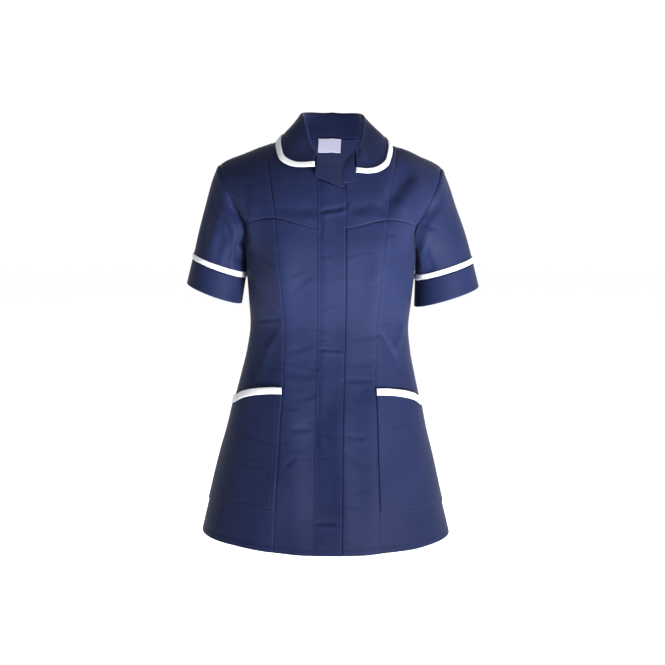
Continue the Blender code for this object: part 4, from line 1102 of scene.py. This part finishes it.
def sleeveForm(side):
    row = sleeves[side]
    tilt, lean = math.radians(row["tilt"]), math.radians(row["lean"])
    across = np.array((side * math.cos(tilt), 0.0, math.sin(tilt)))
    down = np.array((side * math.sin(lean), 0.0, -math.cos(lean)))
    hem = np.array((side * row["hem"][0], sleeves["centreY"], row["hem"][1]))
    frontEdge, backEdge = armholeEdge(side, True), armholeEdge(side, False)
    top = len(frontEdge[0]) - 1
    edge = []
    for a, b in zip(frontEdge, backEdge):
        ring = np.concatenate((a, b[::-1][1:-1]))
        ring[0], ring[top] = (a[0] + b[0]) / 2, (a[-1] + b[-1]) / 2
        edge.append(ring)
    points, normal, offPanel = edge
    offPanel[0] = (0.0, 0.0, 1.0)
    lengths = np.linalg.norm(np.roll(points, -1, axis=0) - points, axis=-1)
    turns = np.concatenate((-math.pi * np.cumsum(np.append(0, lengths[:top])) / lengths[:top].sum(),
                            -math.pi - math.pi * np.cumsum(lengths[top:-1]) / lengths[top:].sum()))[:, None]

    def cuffRing(height):
        share = height / sleeves["cuffHeight"]
        half, depth = row["half"] - row["flare"] * share, row["depth"] - row["flare"] * 0.3 * share
        return hem - down * height - across * half * np.cos(turns) + np.array((0.0, 1.0, 0.0)) * depth * np.sin(turns)

    target, foot = cuffRing(sleeves["cuffHeight"] + sleeves["seamGap"]), cuffRing(0.0)
    away = unit(np.cross(normal, np.roll(points, -1, axis=0) - np.roll(points, 1, axis=0)))
    away = np.where((away * offPanel).sum(-1, keepdims=True) < 0, -away, away)
    rise = (1 - np.cos(turns)) / 2
    way = unit(away * (0.15 + 0.45 * rise) + unit(np.array((side * 1.0, 0.0, -0.30))) * 0.8)
    wall = body["wall"]
    lean = (way * away).sum(-1, keepdims=True)
    starts = points + away * (sleeves["armholeGap"] + wall / 2 * (1 - lean)) - normal * wall / 2
    gaps = np.linalg.norm(target - starts, axis=-1, keepdims=True)
    pulls = way * (0.50 + (row["puff"] - 0.50) * rise) * gaps
    ends = unit(foot - target) * sleeves["pull"] * gaps

    def at(t):  # t is 0 at the armhole and 1 at the cuff
        return (starts * (1 + 2 * t) * (1 - t) ** 2 + pulls * t * (1 - t) ** 2
                + target * t * t * (3 - 2 * t) + ends * t * t * (t - 1))

    braid = sleeves["trimHeight"] / (sleeves["pull"] * gaps)
    return at, cuffRing, braid


def closeRing(rings):
    rings = np.array(rings)
    return np.concatenate((rings, rings[:, :1]), axis=1)


def outwardNormals(grid):
    normals = gridNormals(grid, True)
    away = grid - grid.mean(axis=1, keepdims=True)
    return normals if (normals * away).sum() > 0 else -normals


def makeSleeve(side, name):
    at, cuffRing, braid = sleeveForm(side)

    def relief(grid, normals, v):
        x, z, facing = grid[..., 0], grid[..., 2], -normals[..., 1]
        rows = inMetres(sleeves["creases"][side])
        total = creaseSum(x, z, rows) * ease(facing / 0.35)
        total = total + creaseSum(x * 0.99, z - 0.006, rows) * ease(-facing / 0.35)
        total = total + 0.0006 * uneven(x + grid[..., 1], z * 0.6, 21 + side, 0.07)
        inner = ease((-side * normals[..., 0] - 0.5) / 0.3)
        total = total + sleeves["nearBody"] * inner * np.exp(-(((z - side * 0.001 + 0.184) / 0.022) ** 2))
        fade = ease(v / 0.012) * ease((v[-1:] - v) / 0.02)
        gate = gateOf(z, sleeves["foldZ"], sleeves["foldFade"])
        aside = side * (x - np.interp(z, z[0, :64], x[0, :64]))  # out from the front of the armhole
        hollow = ease((sleeves["foldReach"] - aside) / sleeves["foldWidth"]) * ease(facing / 0.35) * ease(v / 0.004)
        head = seamDip(v) + 0.0011 * np.exp(-(((v - 0.006) / 0.005) ** 2))
        return total * fade + head - sleeves[side]["fold"] * gate * hollow

    flat = closeRing([at(t) for t in evenShares(0.16, 0.0030)])
    towards = np.where(flat[:1, :, 1] < 0.0, 1.0, -1.0)
    sunk = armholeSink(flat, lengthsOf(flat)[1], towards, sleeves[side]["sinkWidth"])
    grid = hang(sunk)
    normals = outwardNormals(hang(flat))
    v = runAlong(grid)
    outer = grid + normals * (body["wall"] / 2 + relief(grid, normals, v))[..., None]
    clothSheet(f"sleeve{name}", outer, outwardNormals(outer), f"sleeve_{name.lower()}", sleeves["cut"], closed=True)
    heights = np.concatenate((np.linspace(sleeves["cuffHeight"], 0.0012, 18), (0.0004, 0.0, 0.0004, 0.0012),
                              np.linspace(0.004, sleeves["turnUnder"], 7)))  # down the cuff, then up inside it
    insets = np.array([0.0] * 18 + [0.0002, 0.0008, 0.0014] + [0.0016] * 8)
    grid = hang(closeRing([cuffRing(height) for height in heights]))
    out = outwardNormals(grid[:18])
    out = np.concatenate((out, np.repeat(out[-1:], len(grid) - 18, axis=0)))
    outer = grid + out * (body["wall"] / 2 - insets)[:, None, None]
    facing = out.copy()
    facing[20:] *= -1
    makeSheet(f"cuff{name}", outer, facing, navy, "navy_cloth", f"cuff_{name.lower()}", sleeves["cuffWall"],
              sleeves["cuffCut"], closed=True)
    low, high = sleeves["trimShare"]
    grid = hang(closeRing([at(1 - braid * s) for s in np.linspace(high, low, 9)]))
    normals = outwardNormals(grid)
    crown = braidCrown * np.sin(np.linspace(0, math.pi, 9))[:, None, None]
    outer = grid + normals * (body["wall"] / 2 + sleeves["seamGap"] + sleeves["trimWall"] + crown)
    braidSheet(f"sleeveTrim{name}", outer, normals, f"sleeve_trim_{name.lower()}", sleeves, closed=True)


for side, name in sides:
    makeSleeve(side, name)
print("sleeves made")

# sewing

sewing = {
    "stitch": 0.0029,
    "radius": 0.00028,
    "princess": 0.0017,
    "edge": 0.0017,
    "pocketRows": (0.0018, 0.0078),
    "placketTurnZ": -0.6085,
    "placketFoot": 0.0075,
    "placketEdges": (0.0034, 0.0020),
    "collar": 0.0045,
    "braid": 0.0013,
    "label": 0.0012,
}


def upLine(name, distance, fromRight=False):  # a line up the piece, at a distance from one side
    piece = madeSheets[name]
    u = piece["u"]
    at = u[:, -1] - distance if fromRight else distance + 0 * u[:, 0]
    return pickAlong(piece, u, at, 1)


def acrossLine(name, distance, fromTop=False):
    piece = madeSheets[name]
    v = piece["v"].T
    at = v[:, -1] - distance if fromTop else distance + 0 * v[:, 0]
    return pickAlong(piece, v, at, 0)


def pickAlong(piece, lengths, at, axis):
    grids = (piece[key] if axis else piece[key].swapaxes(0, 1) for key in ("points", "normals"))
    points, normals = (pickLine(grid, lengths, at) for grid in grids)
    return points, unit(normals)


def makeThread(name, lines, material):
    build = bmesh.new()
    build.loops.layers.uv.new("cut")
    step, radius = sewing["stitch"] / 6, sewing["radius"]
    for points, normals in lines:
        run = runAlong(points)
        even = np.arange(0, run[-1], step)
        line, out = (np.stack([np.interp(even, run, p[:, k]) for k in range(3)], axis=-1) for p in (points, normals))
        out = unit(out)
        side = unit(np.cross(out, np.gradient(line, axis=0)))
        swell = np.sin(math.pi * (even / sewing["stitch"] % 1.0)) ** 0.6
        centre = line + out * (radius * (1.1 * swell - 0.7))[:, None]
        wide = (radius * (0.35 + 0.65 * swell))[:, None]
        turns = np.linspace(0, 2 * math.pi, 6)
        tube = np.stack([centre + (out * math.cos(t) + side * math.sin(t)) * wide for t in turns], axis=1)
        u, v = lengthsOf(tube)
        build.from_mesh(gridMesh("thread", tube, u, v, True))
    mesh = bpy.data.meshes.new(name)
    bmesh.ops.recalc_face_normals(build, faces=build.faces)
    build.to_mesh(mesh)
    build.free()
    piece = addObject(name, mesh, material)
    print(name, len(mesh.polygons))


def sewAll():
    panels = ["frontSideLeft", "frontCentreLeft", "frontCentreRight", "frontSideRight", "back", "placket"]
    makeThread("stitchingHem", [acrossLine(p, fronts["hemHeight"]) for p in panels], navyThread)
    seams = []
    for name in ("Left", "Right"):
        seams += [upLine(f"frontSide{name}", sewing["princess"]), upLine(f"yokeSide{name}", sewing["princess"])]
        seams += [acrossLine(f"yokeCentre{name}", sewing["edge"]), acrossLine(f"yokeSide{name}", sewing["edge"])]
    makeThread("stitchingSeams", seams, navyThread)
    points, normals = upLine("placket", sewing["placketEdges"][0])
    keep = points[:, 2] > sewing["placketTurnZ"]
    start, startNormal = points[keep][0], normals[keep][0]
    low, lowNormal = acrossLine("placket", sewing["placketTurnZ"] - body["hemZ"] - sewing["placketFoot"])
    near = low[:, 0] > start[0] + 0.006
    curve = np.concatenate((low[near][::-1], [start], points[keep][1:]))
    curveNormals = np.concatenate((lowNormal[near][::-1], [startNormal], normals[keep][1:]))
    closing = [(curve, curveNormals), upLine("placket", sewing["placketEdges"][1], True)]
    for name in ("Left", "Right"):
        closing += [acrossLine(f"pocket{name}", d) for d in sewing["pocketRows"]]
        closing += [upLine(f"pocket{name}", d) for d in sewing["pocketRows"]]
    closing += [acrossLine("collar", sewing["collar"])]
    makeThread("stitchingClosing", closing, navyThread)
    trims = []
    for name in ("collarTrim", "sleeveTrimLeft", "sleeveTrimRight", "pocketTrimLeft", "pocketTrimRight"):
        trims += [acrossLine(name, sewing["braid"]), acrossLine(name, sewing["braid"], True)]
    trims += [acrossLine("label", sewing["label"], True)]
    makeThread("stitchingBraid", trims, whiteThread)


sewAll()
print("sewing made")

# floor, light and camera

studio = {
    "floorZ": -2.60,
    "cameraPlace": (0.0, -2.4757, 0.0396),
    "cameraTilt": 8.0,
    "lens": 76.46,
    "pale": (0.93, 0.93, 0.94, 1.0),
    "glow": 0.48,
    "lights": (  # name, place, aim, size, power, and degrees it fans out
        ("keyLight", (1.74, -2.58, -1.68), (0.06, 0.0, 0.17), 1.3, 19.0, 34),
        ("fillLight", (-0.5, -3.4, -0.7), (0.0, 0.0, -0.30), 1.6, 6),
        ("insideLight", (0.0, -0.082, -0.135), (0.0, 0.060, 0.065), 0.05, 0.68),
        ("floorLight", (0.0, 4.5, 1.0), (0.0, 5.0, -2.6), 5.0, 420),
    ),
    "around": (0.20, 1.05),  # least and most of the light from all round
    "brightSide": (0.50, 0.80, -0.42),
}


def makeFloor():
    build = bmesh.new()
    bmesh.ops.create_grid(build, x_segments=2, y_segments=2, size=25)
    bmesh.ops.translate(build, verts=build.verts, vec=(0, 0, studio["floorZ"]))
    mesh = bpy.data.meshes.new("floor")
    build.to_mesh(mesh)
    build.free()
    material = bpy.data.materials.new("paleFloor")
    material.use_nodes = True
    shader = material.node_tree.nodes["Principled BSDF"]
    wire(material.node_tree, shader, {"Base Color": studio["pale"], "Roughness": 0.9,
                                      "Emission Color": studio["pale"], "Emission Strength": studio["glow"]})
    mesh.materials.append(material)
    floor = bpy.data.objects.new("floor", mesh)
    scene.collection.objects.link(floor)


def areaLight(name, place, target, size, power, spread=180):
    light = bpy.data.lights.new(name, "AREA")
    light.shape = "DISK"
    light.size = size
    light.energy = power
    light.spread = math.radians(spread)
    made = bpy.data.objects.new(name, light)
    made.location = place
    made.rotation_euler = (Vector(target) - Vector(place)).to_track_quat("-Z", "Y").to_euler()
    made.visible_camera = False
    scene.collection.objects.link(made)


def makeWorld():  # pale all round, paler behind and to the right
    world = bpy.data.worlds.new("studio")
    world.use_nodes = True
    tree = world.node_tree
    place = tree.nodes.new("ShaderNodeTexCoord")
    dot = addNode(tree, "VectorMath")
    dot.operation = "DOT_PRODUCT"
    wire(tree, dot, {1: studio["brightSide"]}, {0: place.outputs["Generated"]})
    least, most = studio["around"]
    level = addNode(tree, "MapRange", {"From Min": -1.0, "From Max": 0.65, "To Min": least, "To Max": most},
                    {0: dot.outputs["Value"]})
    wire(tree, tree.nodes["Background"], {"Color": (1, 1, 1, 1)}, {"Strength": level.outputs[0]})
    scene.world = world


makeFloor()
makeWorld()
for row in studio["lights"]:
    areaLight(*row)

cameraData = bpy.data.cameras.new("camera")
cameraData.lens = studio["lens"]
cameraData.sensor_width = 36.0
camera = bpy.data.objects.new("camera", cameraData)
camera.location = studio["cameraPlace"]
camera.rotation_euler = (math.radians(90 - studio["cameraTilt"]), 0, 0)
scene.collection.objects.link(camera)
scene.camera = camera
print("stage made")
